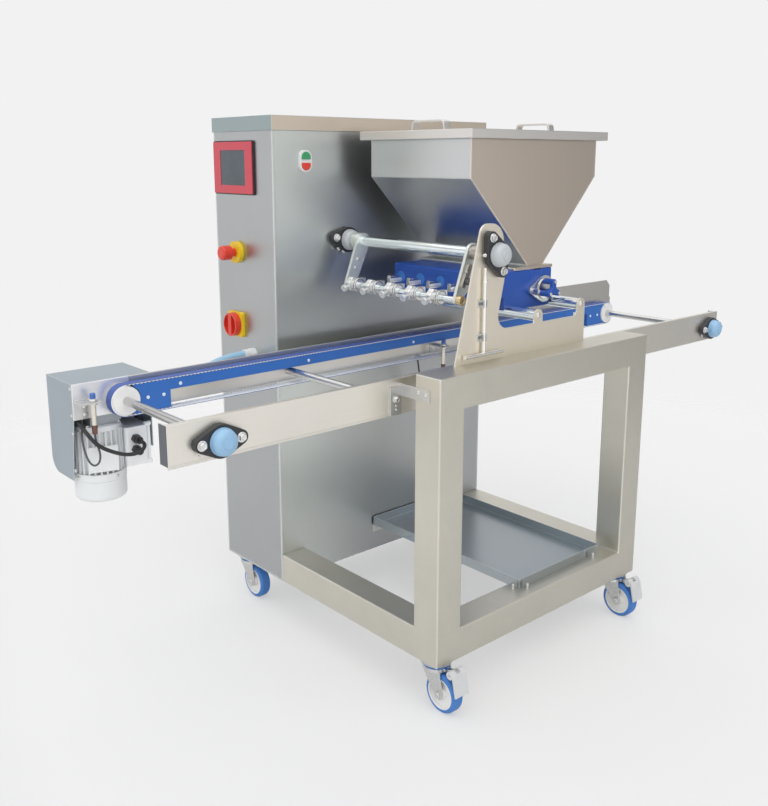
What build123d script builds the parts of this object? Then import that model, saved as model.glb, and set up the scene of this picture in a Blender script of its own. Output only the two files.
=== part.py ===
import os
from math import atan2, cos, hypot, radians, sin, tan

from build123d import *

os.makedirs("parts", exist_ok=True)

# Batter depositor, millimetres, Z up. The origin lies on the floor below the middle of the
# machine's outline, X runs along the conveyor and Y from the operator to the cabinet's back.

# cabinet and welded frame
cabinet_width = 808
cabinet_depth = 284
cabinet_top = 1418.5
cabinet_from_end = 600
cap_height = 38.5
cap_overhang = 3
sheet = 2
panel_margin = 60
frame_clear = 128
frame_top = 832
tube = 80
tube_wall = 4
portal_reach = 624

# casters
wheel_radius = 50
wheel_width = 32
hub_radius = 39
axle_radius = 6
trail = 28
rear_caster_inset = 64
cheek_gap = 2
cheek = 3
crown_radius = 33
crown_height = 9
seal_height = 8
head_plate = 6
head_radius = 38
pin_drop = 12
pin_reach = 65
pin_radius = 4
barrel_radius = 10
pedal_width = 44
pedal_reach = 88
pedal_drop = 50
pedal_thick = 4
tongue_width = 12

# fits
gap = 0.3
running_fit = 0.05

# drip tray
tray_from_left = 340
tray_width = 345
tray_length = 580
tray_height = 26
tray_sheet = 1.5
tray_end_gap = 4
stud_radius = 4
stud_height = 15
stud_off = 12
stud_inset = 20
ledge_depth = 25
ledge_thick = 3

# side plate and support rods
plate_thick = 4
plate_setback = 10
plate_foot_left = 117
plate_apex_left = 199
plate_apex_right = 275
plate_rise = 328
plate_shoulder = 285
shoulder_rise = 195
plate_notch = 256
notch_rise = 71
apex_round = 26
apex_curve = 44
shoulder_round = 40
notch_round = 34
ear_half = 17
ear_root = 3
ear_round = 16
rod_radius = 15
rod_1_from_left = 418
rod_1_below = 102
rod_2_from_left = 593
rod_2_below = 91

# pump block, pistons and valve
block_from_left = 345
block_width = 251
block_length = 362
block_rise = 190
block_height = 102
block_from_cabinet = 270
block_edge = 5
block_rebate = 34
piston_count = 5
piston_pitch = 78
piston_shift = 5
piston_below = 37
piston_radius = 15
piston_length = 30
piston_rod_radius = 4.5
piston_rod_length = 46
piston_travel = 36
valve_from_left = 210
valve_below = 55
rotor_radius = 20
ring_radius = 36
ring_thick = 11
lug_reach = 51
stud_knob_radius = 5
valve_stem = 9
valve_disc = 29
valve_disc_thick = 3
knob_reach = 20.5
knob_post = 8
knob_post_length = 30
knob_plate = 11
nozzle_radius = 9
nozzle_length = 26

# hopper and lid
hopper_from_left = 280
hopper_width = 504
hopper_depth = 372
hopper_from_cabinet = 254
funnel_height = 230
hopper_wall = 119.5
outlet_from_left = 506
outlet_width = 61
flange_thick = 8
flange_from_left = 440
lid_height = 22.5
lid_overhang = 22
handle_offset = 210
handle_length = 126
handle_height = 27
handle_width = 22
handle_thick = 5

# flange bearings
bearing_span = 90
bearing_body = 35
bearing_ear = 15.5
bearing_base = 15
bearing_boss = 16
bearing_boss_radius = 25
bolt_hole = 5
journal = 10
cap_radius = 27.5
cap_length = 24
cap_round = 14
cap_lip = 4
cap_lip_wall = 1.5

# rocker
rocker_from_left = 243
rocker_rise = 255
rocker_turn_rear = 170
rocker_turn_front = -64
rocker_shaft_radius = 14
shaft_tail = 30
arm_length = 124
arm_lean = 25.3
arm_thick = 8
arm_top = 22
arm_bottom = 11
arm_heel = 26
rear_arm_from_cabinet = 70
front_arm_from_plate = 72
bar_radius = 8
clamp_width = 16
clamp_size = 32
clamp_body = 14
clamp_ear = 28
clamp_ear_width = 16
clamp_ring = 15
clamp_ring_width = 8
screw_lean = 17
screw_reach = 28
screw_radius = 3.5
screw_head = 9
screw_head_thick = 6
bush_radius = 11
bush_length = 6
link_length = 62
link_width = 13
link_thick = 5

# conveyor
rail_length = 2032
rail_from_cabinet = 65
rail_thick = 4
rail_below = 17
rail_depth = 82
beam_length = 2018
beam_from_cabinet = 495
beam_thick = 4
beam_lip = 12
beam_return = 30
shaft_below = 49
drive_from_end = 112
idler_from_end = 51
belt_width = 24
belt_back = 1.4
tooth_layer = 2.65
tooth_depth = 2.1
tooth_pitch = 10
pulley_radius = 34
pulley_flange = 33.5
flange_disc = 3
belt_from_rail = 9
belt_from_beam = 5
band_depth = 26
end_block_length = 95
strip_nose = 18
guard_length = 602
guard_height = 62
guard_clip = 20
guard_thick = 3
guard_lap = 12
cross_bar_radius = 10
cross_bar_offset = 11
cross_bar_below = 56
standoff_radius = 15
standoff_inset = 60
bracket_width = 26
bracket_thick = 3
bracket_below = 18
bracket_depth = 69
bracket_arm_below = 13
bracket_arm_depth = 29
bracket_arm_end = 48

# drive at the left end
hood_width = 192
hood_depth = 141
hood_drop = 232
hood_slant = 24
hood_right_drop = 182
hood_round = 38
worm_offset = 40
gearbox_depth = 78
gearbox_body = 70
gearbox_round = 43
worm_half = 31
worm_drop = 58
worm_rise = 41
hub_disc = 32
motor_flange_radius = 54
motor_flange_thick = 12
motor_core = 47.5
fin_radius = 57.5
fin_thick = 4
fin_count = 26
fin_drop = 118
fan_drop = 180
fan_depth = 68
fan_radius = 59.5
fan_wall = 2
fan_round = 10
fan_slots = 8
terminal_near = 46
terminal_far = 104
terminal_width = 94
terminal_below = 16
terminal_height = 94
terminal_round = 8
gland_radius = 11
gland_length = 14
gland_nose_radius = 9
gland_nose = 10
gland_from_axis = 70
gland_below = 44
gland_spacing = 27

# sensors, cables and hose
sensor_radius = 6
sensor_nut = 9.5
sensor_nut_thick = 4
tab_thick = 3
sensor_1_from_end = 36
sensor_1_reach = 25
sensor_1_below = 41
sensor_2_from_left = 527
sensor_2_reach = 45
sensor_2_below = 58
sensor_above = 18
sensor_below = 52
sensor_edge = 15
plug_radius = 7
plug_length = 21
motor_cable_radius = 4.5
sensor_cable_radius = 2.3
hose_radius = 9
hose_gland_radius = 14
hose_gland_length = 16
hose_nose_radius = 12
hose_nose = 20
hose_from_cabinet = 110
hose_below = 36
hood_gland_depth = 106
hood_gland_below = 48
clip_size = 12
rail_clip_from_left = 465
hood_clip_from_end = 22
hood_clip_below = 57

# controls on the cabinet
screen_centre = 180
screen_below = 134.5
screen_wide = 196
screen_high = 144
screen_frame_thick = 5
bezel_margin = 3
bezel_thick = 3
glass_wide = 121
glass_high = 94
glass_deep = 1
stop_from_front = 178
stop_below = 364.5
stop_collar = 30
stop_collar_thick = 12
stop_stem = 11
stop_head = 20
stop_reach = 57
stop_head_thick = 29
stop_travel = 4.5
switch_from_front = 190
switch_below = 568.5
switch_plate = 70
switch_plate_thick = 10
switch_plate_round = 6
switch_rim = 33
switch_rim_wall = 4
switch_deep = 18
switch_hollow = 11
switch_bar = 15
buttons_from_left = 102
buttons_below = 116.5
buttons_wide = 38
buttons_high = 58
buttons_thick = 9
button_rim = 5
button_split = 5
button_proud = 3
button_depth = 7
button_travel = 2.5

# extraction tool
tool_from_left = 207
tool_rise = 19
tool_length = 207
tool_radius = 4
tool_grip_radius = 5
tool_grip_length = 132
tool_collar = 6
tool_tip = 3
tool_tip_length = 18
tool_reach = 8
clip_low = 60
clip_spacing = 81
clip_wide = 10
clip_tall = 18
clip_wall = 2

# places that follow from the sizes above
front_extent = portal_reach - tube / 2 + pedal_reach
cab_front = (front_extent - cabinet_depth - cap_overhang) / 2
cab_back = cab_front + cabinet_depth
cab_mid_y = (cab_front + cab_back) / 2
rail_left = -rail_length / 2
rail_right = rail_length / 2
cab_left = rail_left + cabinet_from_end
cab_right = cab_left + cabinet_width
cab_mid_x = (cab_left + cab_right) / 2
portal_front = cab_front - portal_reach
portal_back = portal_front + tube
portal_mid = portal_front + tube / 2
link_top = frame_clear + tube
plate_front = portal_back - plate_setback
plate_back = plate_front + plate_thick
plate_apex = frame_top + plate_rise
notch_floor = frame_top + notch_rise
rail_front = cab_front - rail_from_cabinet
rail_back = rail_front + rail_thick
rail_top = frame_top - rail_below
rail_bottom = rail_top - rail_depth
shaft_height = rail_top - shaft_below
beam_front = cab_front - beam_from_cabinet
beam_right = rail_left + beam_length
beam_inside = beam_front + beam_thick
drive_x = rail_left + drive_from_end
idler_x = beam_right - idler_from_end
block_left = cab_left + block_from_left
block_right = block_left + block_width
block_mid_y = cab_front - block_from_cabinet
block_front = block_mid_y - block_length / 2
block_top = frame_top + block_rise
block_bottom = block_top - block_height
rod_1_height = block_top - rod_1_below
rod_2_height = block_top - rod_2_below
piston_height = block_top - piston_below
valve_x = block_left + valve_from_left
valve_height = block_top - valve_below
rocker_x = cab_left + rocker_from_left
rocker_height = frame_top + rocker_rise
bar_x = rocker_x - arm_length * sin(radians(arm_lean))
bar_z = rocker_height - arm_length * cos(radians(arm_lean))
motor_x = drive_x - worm_offset
motor_y = rail_back + gearbox_depth / 2
worm_low = shaft_height - worm_drop
piston_rows = [
    block_mid_y - piston_shift + (i - (piston_count - 1) / 2) * piston_pitch
    for i in range(piston_count)
]


def front_plane(y):
    """Upright plane whose sketches read as X and Z and extrude towards the operator."""
    return Plane.XZ.offset(-y)


def side_plane(x):
    """Upright plane whose sketches read as Y and Z and extrude to the right."""
    return Plane.YZ.offset(x)


def level(z):
    return Plane.XY.offset(z)


def run_length(start, end):
    return hypot(*(b - a for a, b in zip(start, end)))


def bend_radii(points):
    """Radius of each bend of a cord, from the shorter of the two runs beside it."""
    radii = []
    for before, here, after in zip(points, points[1:], points[2:]):
        first = run_length(before, here)
        second = run_length(here, after)
        dot = sum((b - a) * (c - b) for a, b, c in zip(before, here, after))
        cosine = dot / (first * second)
        turn = atan2((1 - cosine**2) ** 0.5, cosine)
        radii.append(0.45 * min(first, second) / tan(turn / 2))
    return radii


def cord(points, radius):
    """Round cord along straight runs joined by tangent arcs."""
    radii = bend_radii(points)
    with BuildPart() as run:
        with BuildLine():
            route = FilletPolyline(*points, radius=radii)
        with BuildSketch(Plane(origin=route @ 0, z_dir=route % 0)):
            Circle(radius)
        sweep()
    print("cord radius", radius, "length", round(route.length), "bends", [round(r) for r in radii])
    return run.part.solid()


def square_tube(plane, place, length, closed=0):
    """Square tube, open at its start and closed at its far end if that stands free."""
    with BuildPart() as run:
        with BuildSketch(plane):
            with Locations(place):
                Rectangle(tube, tube)
        extrude(amount=length)
        with BuildSketch(plane):
            with Locations(place):
                Rectangle(tube - 2 * tube_wall, tube - 2 * tube_wall)
        extrude(amount=length - closed, mode=Mode.SUBTRACT)
    return run.part.solid()


def flange_bearing(x, y, z, turn, out=1):
    """Two-bolt bearing housing on an upright face, out = -1 where it looks to the back."""
    with BuildPart() as housing:
        with BuildSketch(front_plane(y)):
            with Locations((x, z)):
                Circle(bearing_body)
                with PolarLocations(bearing_span / 2, 2, start_angle=turn):
                    Circle(bearing_ear)
            make_hull()
            with Locations((x, z)):
                with PolarLocations(bearing_span / 2, 2, start_angle=turn):
                    Circle(bolt_hole, mode=Mode.SUBTRACT)
        extrude(amount=out * bearing_base)
        with BuildSketch(front_plane(y)):
            with Locations((x, z)):
                Circle(bearing_boss_radius)
        extrude(amount=out * bearing_boss)
        with BuildSketch(front_plane(y)):
            with Locations((x, z)):
                Circle(journal + running_fit)
        extrude(amount=out * bearing_boss, mode=Mode.SUBTRACT)
    return housing.part.solid()


def bearing_cap(x, y, z, out=1, bored=False):
    """Domed plastic cap with a lip over a bearing's boss, bored where the shaft goes on."""
    with BuildPart() as cap:
        with BuildSketch(front_plane(y - out * bearing_boss)):
            with Locations((x, z)):
                Circle(cap_radius)
        extrude(amount=out * cap_length)
        rim = cap.edges().filter_by(GeomType.CIRCLE).sort_by(Axis.Y)
        fillet(rim[0] if out > 0 else rim[-1], cap_round)
        with BuildSketch(front_plane(y - out * bearing_boss)):
            with Locations((x, z)):
                Circle(cap_radius + cap_lip_wall)
        extrude(amount=out * cap_lip)
        if bored:
            with BuildSketch(front_plane(y - out * bearing_boss)):
                with Locations((x, z)):
                    Circle(rocker_shaft_radius + cheek_gap)
            extrude(amount=out * cap_length, mode=Mode.SUBTRACT)
    return cap.part.solid()


# cabinet
with BuildPart() as cabinet_body:
    with BuildSketch(level(frame_clear)):
        with Locations((cab_mid_x, cab_mid_y)):
            Rectangle(cabinet_width, cabinet_depth)
    extrude(amount=cabinet_top - sheet - frame_clear)
    with BuildSketch(level(frame_clear + sheet)):
        with Locations((cab_mid_x, cab_mid_y)):
            Rectangle(cabinet_width - 2 * sheet, cabinet_depth - 2 * sheet)
    extrude(amount=cabinet_top - frame_clear, mode=Mode.SUBTRACT)
    with BuildSketch(front_plane(cab_back)):
        with Locations((cab_mid_x, (frame_clear + cabinet_top - cap_height) / 2)):
            RectangleRounded(
                cabinet_width - 2 * panel_margin,
                cabinet_top - cap_height - frame_clear - 2 * panel_margin,
                panel_margin / 6,
            )
    extrude(amount=-sheet)
    with BuildSketch(front_plane(cab_front + sheet)):
        with Locations((rocker_x, rocker_height)):
            Circle(rocker_shaft_radius + cheek)
    extrude(amount=sheet, mode=Mode.SUBTRACT)

with BuildPart() as cabinet_cap:
    with BuildSketch(level(cabinet_top - cap_height)):
        with Locations((cab_mid_x, cab_mid_y)):
            Rectangle(cabinet_width + 2 * cap_overhang, cabinet_depth + 2 * cap_overhang)
    extrude(amount=cap_height)
    with BuildSketch(level(cabinet_top - cap_height)):
        with Locations((cab_mid_x, cab_mid_y)):
            Rectangle(
                cabinet_width + 2 * (cap_overhang - sheet),
                cabinet_depth + 2 * (cap_overhang - sheet),
            )
    extrude(amount=cap_height - sheet, mode=Mode.SUBTRACT)

# portal, link beams and the seats of the drip tray
leg_x = (cab_left + tube / 2, cab_right - tube / 2)
between_legs = cabinet_width - 2 * tube
tray_left = cab_left + tray_from_left
tray_mid_x = tray_left + tray_width / 2
tray_back = cab_front - tray_end_gap
tray_front = tray_back - tray_length
frame_pieces = []
for x in leg_x:
    frame_pieces.append(
        square_tube(level(frame_clear), (x, portal_mid), frame_top - frame_clear, tube_wall)
    )
    frame_pieces.append(
        square_tube(front_plane(cab_front), (x, link_top - tube / 2), cab_front - portal_back)
    )
for z in (frame_top - tube / 2, link_top - tube / 2):
    frame_pieces.append(square_tube(side_plane(cab_left + tube), (portal_mid, z), between_legs))
with BuildPart() as tray_seats:
    with BuildSketch(side_plane(tray_left)):
        with BuildLine():
            Polyline(
                (cab_front, link_top),
                (cab_front - ledge_depth, link_top),
                (cab_front - ledge_depth, link_top - ledge_thick),
                (cab_front - ledge_thick, link_top - ledge_thick),
                (cab_front - ledge_thick, link_top - ledge_depth),
                (cab_front, link_top - ledge_depth),
                close=True,
            )
        make_face()
    extrude(amount=tray_width)
    with BuildSketch(level(link_top)):
        with Locations(
            (tray_left - stud_off, tray_front + stud_inset / 2),
            (tray_left + stud_inset, tray_front - stud_off),
            (tray_left + tray_width - 2 * stud_inset, tray_front - stud_off),
        ):
            Circle(stud_radius)
    extrude(amount=stud_height)
frame_pieces += tray_seats.part.solids()
portal_frame = Compound(frame_pieces)

with BuildPart() as drip_tray:
    with BuildSketch(level(link_top + gap)):
        with Locations((tray_mid_x, tray_back - tray_length / 2)):
            Rectangle(tray_width, tray_length)
    extrude(amount=tray_height)
    with BuildSketch(level(link_top + gap + tray_sheet)):
        with Locations((tray_mid_x, tray_back - tray_length / 2)):
            Rectangle(tray_width - 2 * tray_sheet, tray_length - 2 * tray_sheet)
    extrude(amount=tray_height, mode=Mode.SUBTRACT)

# casters: a fixed head, a swivelling yoke, a wheel and, at the front, a brake pedal
crown_top = frame_clear - head_plate - seal_height - gap
cheek_inside = wheel_width / 2 + cheek_gap
pin_z = frame_clear - pin_drop
caster_places = {
    "front_left": (leg_x[0], portal_mid),
    "front_right": (leg_x[1], portal_mid),
    "rear_left": (leg_x[0], cab_back - rear_caster_inset),
    "rear_right": (leg_x[1], cab_back - rear_caster_inset),
}


def caster_yoke(x, y, braked):
    """Pressed fork with crown, axle and, on a braked caster, the tongue of the pedal's pin."""
    with BuildPart() as yoke:
        with BuildSketch(level(crown_top - crown_height)):
            with Locations((x, y)):
                Circle(crown_radius)
        extrude(amount=crown_height)
        for start in (x - cheek_inside - cheek, x + cheek_inside):
            with BuildSketch(side_plane(start)):
                with Locations((y, crown_top - crown_height / 2)):
                    Rectangle(1.8 * crown_radius, crown_height)
                with Locations((y - trail, wheel_radius)):
                    Circle(2.2 * axle_radius)
                make_hull()
            extrude(amount=cheek)
        axle_half = cheek_inside + cheek + axle_radius
        with BuildSketch(side_plane(x - axle_half)):
            with Locations((y - trail, wheel_radius)):
                Circle(axle_radius)
        extrude(amount=2 * axle_half)
        for start in (x - axle_half + axle_radius / 4, x + cheek_inside + cheek):
            with BuildSketch(side_plane(start)):
                with Locations((y - trail, wheel_radius)):
                    RegularPolygon(1.6 * axle_radius, 6)
            extrude(amount=0.75 * axle_radius)
        if braked:
            with BuildSketch(side_plane(x - tongue_width / 2)):
                with Locations((y - crown_radius - 1.5 * cheek, crown_top - crown_height / 2)):
                    Rectangle(cheek, crown_height)
                with Locations((y - pin_reach, pin_z)):
                    Circle(2 * pin_radius)
                make_hull()
                with Locations((y - 0.8 * crown_radius, crown_top - crown_height / 2)):
                    Rectangle(crown_radius, crown_height)
            extrude(amount=tongue_width)
            with BuildSketch(side_plane(x - pedal_width / 2)):
                with Locations((y - pin_reach, pin_z)):
                    Circle(pin_radius)
            extrude(amount=pedal_width)
    return yoke


def caster_wheel(x, y):
    """Soft tyre on a plastic hub, dished on both sides and bored for the axle."""
    with BuildPart() as wheel:
        with BuildSketch(side_plane(x - wheel_width / 2)):
            with Locations((y - trail, wheel_radius)):
                Circle(wheel_radius)
        extrude(amount=wheel_width)
        rims = wheel.edges().filter_by(GeomType.CIRCLE)
        fillet(rims, wheel_width / 4)
        for start in (x - wheel_width / 2, x + wheel_width / 4):
            with BuildSketch(side_plane(start)):
                with Locations((y - trail, wheel_radius)):
                    Circle(hub_radius - cheek)
                    Circle(2.4 * axle_radius, mode=Mode.SUBTRACT)
            extrude(amount=wheel_width / 4, mode=Mode.SUBTRACT)
        with BuildSketch(side_plane(x - wheel_width / 2 - cheek_gap / 2)):
            with Locations((y - trail, wheel_radius)):
                Circle(2.4 * axle_radius)
        extrude(amount=wheel_width + cheek_gap)
        with BuildSketch(side_plane(x - wheel_width)):
            with Locations((y - trail, wheel_radius)):
                Circle(axle_radius + running_fit)
        extrude(amount=2 * wheel_width, mode=Mode.SUBTRACT)
    return wheel


def brake_pedal(x, y):
    """Pedal with a split barrel on its pin and a flap that slants down before the tyre."""
    tip = y - pedal_reach
    pin_y = y - pin_reach
    clear = 2 * pin_radius + gap
    barrel = (pedal_width - tongue_width) / 2 - gap
    with BuildPart() as pedal:
        for start in (x - pedal_width / 2, x + tongue_width / 2 + gap):
            with BuildSketch(side_plane(start)):
                with Locations((pin_y, pin_z)):
                    Circle(barrel_radius)
            extrude(amount=barrel)
        with BuildSketch(side_plane(x - pedal_width / 2)):
            with BuildLine():
                Polyline(
                    (pin_y - clear, pin_z + pedal_thick),
                    (pin_y - clear - pedal_thick, pin_z + pedal_thick / 2),
                    (tip, pin_z - pedal_drop),
                    (tip + pedal_thick, pin_z - pedal_drop - pedal_thick / 4),
                    (pin_y - clear, pin_z - pedal_thick),
                    close=True,
                )
            make_face()
        extrude(amount=pedal_width)
        with BuildSketch(side_plane(x - pedal_width / 2)):
            with Locations((pin_y, pin_z)):
                Circle(pin_radius + running_fit)
        extrude(amount=pedal_width, mode=Mode.SUBTRACT)
    return pedal


with BuildPart() as caster_heads:
    with BuildSketch(level(frame_clear - head_plate)):
        with Locations(*caster_places.values()):
            Circle(head_radius)
    extrude(amount=head_plate)
    with BuildSketch(level(frame_clear - head_plate - seal_height)):
        with Locations(*caster_places.values()):
            Circle(crown_radius)
    extrude(amount=seal_height)

# side plate, support rods and pump block
rod_1_x = cab_left + rod_1_from_left
rod_2_x = cab_left + rod_2_from_left
with BuildPart() as side_plate:
    with BuildSketch(front_plane(plate_back)):
        with BuildLine():
            FilletPolyline(
                (cab_left + plate_foot_left, frame_top),
                (cab_left + plate_apex_left, plate_apex),
                (cab_left + plate_apex_right, plate_apex),
                (cab_left + plate_shoulder, frame_top + shoulder_rise),
                (cab_left + plate_notch, notch_floor),
                (rod_1_x - ear_half, notch_floor),
                (rod_1_x - ear_half, rod_1_height + ear_half),
                (rod_1_x + ear_half, rod_1_height + ear_half),
                (rod_1_x + ear_half, notch_floor),
                (rod_2_x - ear_half, notch_floor),
                (rod_2_x - ear_half, rod_2_height + ear_half),
                (rod_2_x + ear_half, rod_2_height + ear_half),
                (rod_2_x + ear_half, frame_top),
                radius=(
                    0,
                    apex_round,
                    apex_curve,
                    shoulder_round,
                    notch_round,
                    ear_root,
                    ear_round,
                    ear_round,
                    ear_root,
                    notch_round / 2,
                    ear_round,
                    ear_round,
                    0,
                ),
                close=True,
            )
        make_face()
    extrude(amount=plate_thick)
    with BuildSketch(front_plane(plate_back)):
        with Locations((rocker_x, rocker_height)):
            Circle(journal + gap)
    extrude(amount=plate_thick, mode=Mode.SUBTRACT)

with BuildPart() as support_rods:
    with BuildSketch(front_plane(cab_front)):
        with Locations((rod_1_x, rod_1_height), (rod_2_x, rod_2_height)):
            Circle(rod_radius)
    extrude(amount=cab_front - plate_back)

block_mid_x = (block_left + block_right) / 2
bore_end = block_left + piston_length + piston_travel + 2 * gap
outlet_left = cab_left + outlet_from_left
outlet_mid = outlet_left + outlet_width / 2
with BuildPart() as pump_block:
    with BuildSketch(front_plane(block_mid_y + block_length / 2)):
        with Locations((block_mid_x, (block_bottom + block_top) / 2)):
            Rectangle(block_width, block_top - block_bottom)
    extrude(amount=block_length)
    fillet(pump_block.edges().filter_by(Axis.Z), block_edge)
    rebate_width = rod_1_x - rod_radius - block_left
    with BuildSketch(front_plane(block_mid_y + block_length / 2)):
        with Locations((block_left + rebate_width / 2, block_bottom + block_rebate / 2)):
            Rectangle(rebate_width, block_rebate)
    extrude(amount=block_length, mode=Mode.SUBTRACT)
    brow = pump_block.edges().filter_by(Axis.Y).group_by(Axis.Z)[-1].sort_by(Axis.X)[0]
    fillet(brow, block_edge)
    with BuildSketch(front_plane(cab_front)):
        with Locations((rod_1_x, rod_1_height), (rod_2_x, rod_2_height)):
            Circle(rod_radius + running_fit)
    extrude(amount=cab_front - plate_back, mode=Mode.SUBTRACT)
    with BuildSketch(side_plane(block_left)):
        for row in piston_rows:
            with Locations((row, piston_height)):
                Circle(piston_radius + running_fit)
    extrude(amount=bore_end - block_left, mode=Mode.SUBTRACT)
    with BuildSketch(front_plane(block_front + block_length - ring_radius)):
        with Locations((valve_x, valve_height)):
            Circle(rotor_radius + running_fit)
    extrude(amount=block_length, mode=Mode.SUBTRACT)
    with BuildSketch(level(valve_height)):
        for row in piston_rows:
            with Locations((outlet_mid, row)):
                Rectangle(outlet_width / 2, piston_pitch / 2)
    extrude(amount=block_top - valve_height, mode=Mode.SUBTRACT)

with BuildPart() as pistons:
    with BuildSketch(side_plane(block_left - gap)):
        for row in piston_rows:
            with Locations((row, piston_height)):
                Circle(piston_radius)
    extrude(amount=piston_length)
    with BuildSketch(side_plane(block_left - piston_rod_length)):
        for row in piston_rows:
            with Locations((row, piston_height)):
                Circle(piston_rod_radius)
    extrude(amount=piston_rod_length)
    with BuildSketch(side_plane(block_left - piston_rod_length)):
        for row in piston_rows:
            with Locations((row, piston_height)):
                Circle(1.5 * piston_rod_radius)
    extrude(amount=piston_rod_radius)

# valve: ring with lug on the block, rotor with its disc, knob of three posts, nozzles below
with BuildPart() as pump_fittings:
    with BuildSketch(front_plane(block_front)):
        with Locations((valve_x, valve_height)):
            Circle(ring_radius)
        with Locations((valve_x - lug_reach, valve_height)):
            Circle(ring_thick)
        make_hull()
        with Locations((valve_x, valve_height)):
            Circle(valve_stem + running_fit, mode=Mode.SUBTRACT)
        with Locations((rod_2_x, rod_2_height)):
            Circle(rod_radius + gap, mode=Mode.SUBTRACT)
    extrude(amount=ring_thick)
    with BuildSketch(front_plane(block_front - ring_thick)):
        with Locations((valve_x - lug_reach, valve_height)):
            Circle(stud_knob_radius)
    extrude(amount=2 * ring_thick)
    with BuildSketch(level(block_bottom)):
        for row in piston_rows:
            with Locations((outlet_mid, row)):
                Circle(nozzle_radius)
    extrude(amount=-nozzle_length, taper=8)
    with BuildSketch(level(block_bottom)):
        for row in piston_rows:
            with Locations((outlet_mid, row)):
                Circle(nozzle_radius / 2.5)
    extrude(amount=-nozzle_length, mode=Mode.SUBTRACT)

knob_back = block_front - ring_thick - gap
with BuildPart() as valve_rotor:
    with BuildSketch(front_plane(block_front + block_length - ring_radius - gap)):
        with Locations((valve_x, valve_height)):
            Circle(rotor_radius)
    extrude(amount=block_length - ring_radius - 2 * gap)
    with BuildSketch(front_plane(block_front + gap)):
        with Locations((valve_x, valve_height)):
            Circle(valve_stem)
    extrude(amount=ring_thick + 2 * gap)
    with BuildSketch(front_plane(knob_back)):
        with Locations((valve_x, valve_height)):
            Circle(valve_disc)
    extrude(amount=valve_disc_thick)

knob_seat = knob_back - valve_disc_thick
with BuildPart() as valve_knob:
    with BuildSketch(front_plane(knob_seat)):
        with Locations((valve_x, valve_height)):
            with PolarLocations(knob_reach, 3, start_angle=90):
                Circle(knob_post)
    extrude(amount=knob_post_length)
    with BuildSketch(front_plane(knob_seat - knob_post_length + knob_plate)):
        with Locations((valve_x, valve_height)):
            Circle(1.3 * knob_post)
            with PolarLocations(knob_reach / 2, 3, start_angle=90):
                Rectangle(knob_reach, 2 * knob_post)
            with PolarLocations(knob_reach, 3, start_angle=90):
                Circle(knob_post)
    extrude(amount=knob_plate)
    front_edges = valve_knob.faces().sort_by(Axis.Y)[0].edges()
    fillet(front_edges, knob_post / 3)

# hopper on its base flange, and the loose lid
hopper_left = cab_left + hopper_from_left
hopper_mid_x = hopper_left + hopper_width / 2
hopper_back = cab_front - hopper_from_cabinet + hopper_depth / 2
flange_left = cab_left + flange_from_left
flange_top = block_top + flange_thick
hopper_bend = flange_top + funnel_height
lid_top = hopper_bend + hopper_wall
lid_inside = lid_top - sheet
rim = lid_inside - gap
with BuildPart() as hopper:
    with BuildSketch(front_plane(hopper_back)):
        with BuildLine():
            Polyline(
                (hopper_left, rim),
                (hopper_left, hopper_bend),
                (outlet_left, flange_top),
                (outlet_left + outlet_width, flange_top),
                (hopper_left + hopper_width, hopper_bend),
                (hopper_left + hopper_width, rim),
                close=True,
            )
        make_face()
    extrude(amount=hopper_depth)
    mouth = hopper.faces().sort_by(Axis.Z)[-1]
    spout = hopper.faces().filter_by(Axis.Z).sort_by(Axis.Z)[0]
    offset(amount=-sheet, openings=[mouth, spout])
    with BuildSketch(level(block_top)):
        with Locations(((flange_left + block_right) / 2, block_mid_y)):
            Rectangle(block_right - flange_left, block_length)
        with Locations((outlet_mid, cab_front - hopper_from_cabinet)):
            Rectangle(
                outlet_width - 2 * sheet, hopper_depth - 2 * sheet, mode=Mode.SUBTRACT
            )
    extrude(amount=flange_thick)

lid_wide = hopper_width + 2 * lid_overhang
lid_deep = hopper_depth + 2 * lid_overhang
lid_mid_y = cab_front - hopper_from_cabinet
with BuildPart() as hopper_lid:
    with BuildSketch(level(lid_top - lid_height)):
        with Locations((hopper_mid_x, lid_mid_y)):
            Rectangle(lid_wide, lid_deep)
    extrude(amount=lid_height)
    with BuildSketch(level(lid_top - lid_height)):
        with Locations((hopper_mid_x, lid_mid_y)):
            Rectangle(lid_wide - 2 * sheet, lid_deep - 2 * sheet)
    extrude(amount=lid_height - sheet, mode=Mode.SUBTRACT)
    for start in (-handle_offset, handle_offset):
        with BuildSketch(side_plane(hopper_mid_x + start - handle_width / 2)):
            with BuildLine():
                FilletPolyline(
                    (lid_mid_y - handle_length / 2, lid_top),
                    (lid_mid_y - handle_length / 2 + handle_thick, lid_top + handle_height),
                    (lid_mid_y + handle_length / 2 - handle_thick, lid_top + handle_height),
                    (lid_mid_y + handle_length / 2, lid_top),
                    radius=handle_height / 2,
                )
                offset(amount=handle_thick, side=Side.RIGHT)
            make_face()
        extrude(amount=handle_width)

# bearings with their caps
front_bearing_y = plate_front
bearing_housings = Compound(
    [
        flange_bearing(rocker_x, cab_front, rocker_height, rocker_turn_rear),
        flange_bearing(rocker_x, front_bearing_y, rocker_height, rocker_turn_front),
        flange_bearing(drive_x, beam_front, shaft_height, 0),
        flange_bearing(idler_x, beam_front, shaft_height, 0),
        flange_bearing(idler_x, rail_back, shaft_height, 0, -1),
    ]
)
rocker_bearing_caps = Compound(
    [
        bearing_cap(rocker_x, cab_front, rocker_height, bored=True),
        bearing_cap(rocker_x, front_bearing_y, rocker_height),
    ]
)
conveyor_bearing_caps = Compound(
    [
        bearing_cap(drive_x, beam_front, shaft_height),
        bearing_cap(idler_x, beam_front, shaft_height),
        bearing_cap(idler_x, rail_back, shaft_height, -1),
    ]
)

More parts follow.
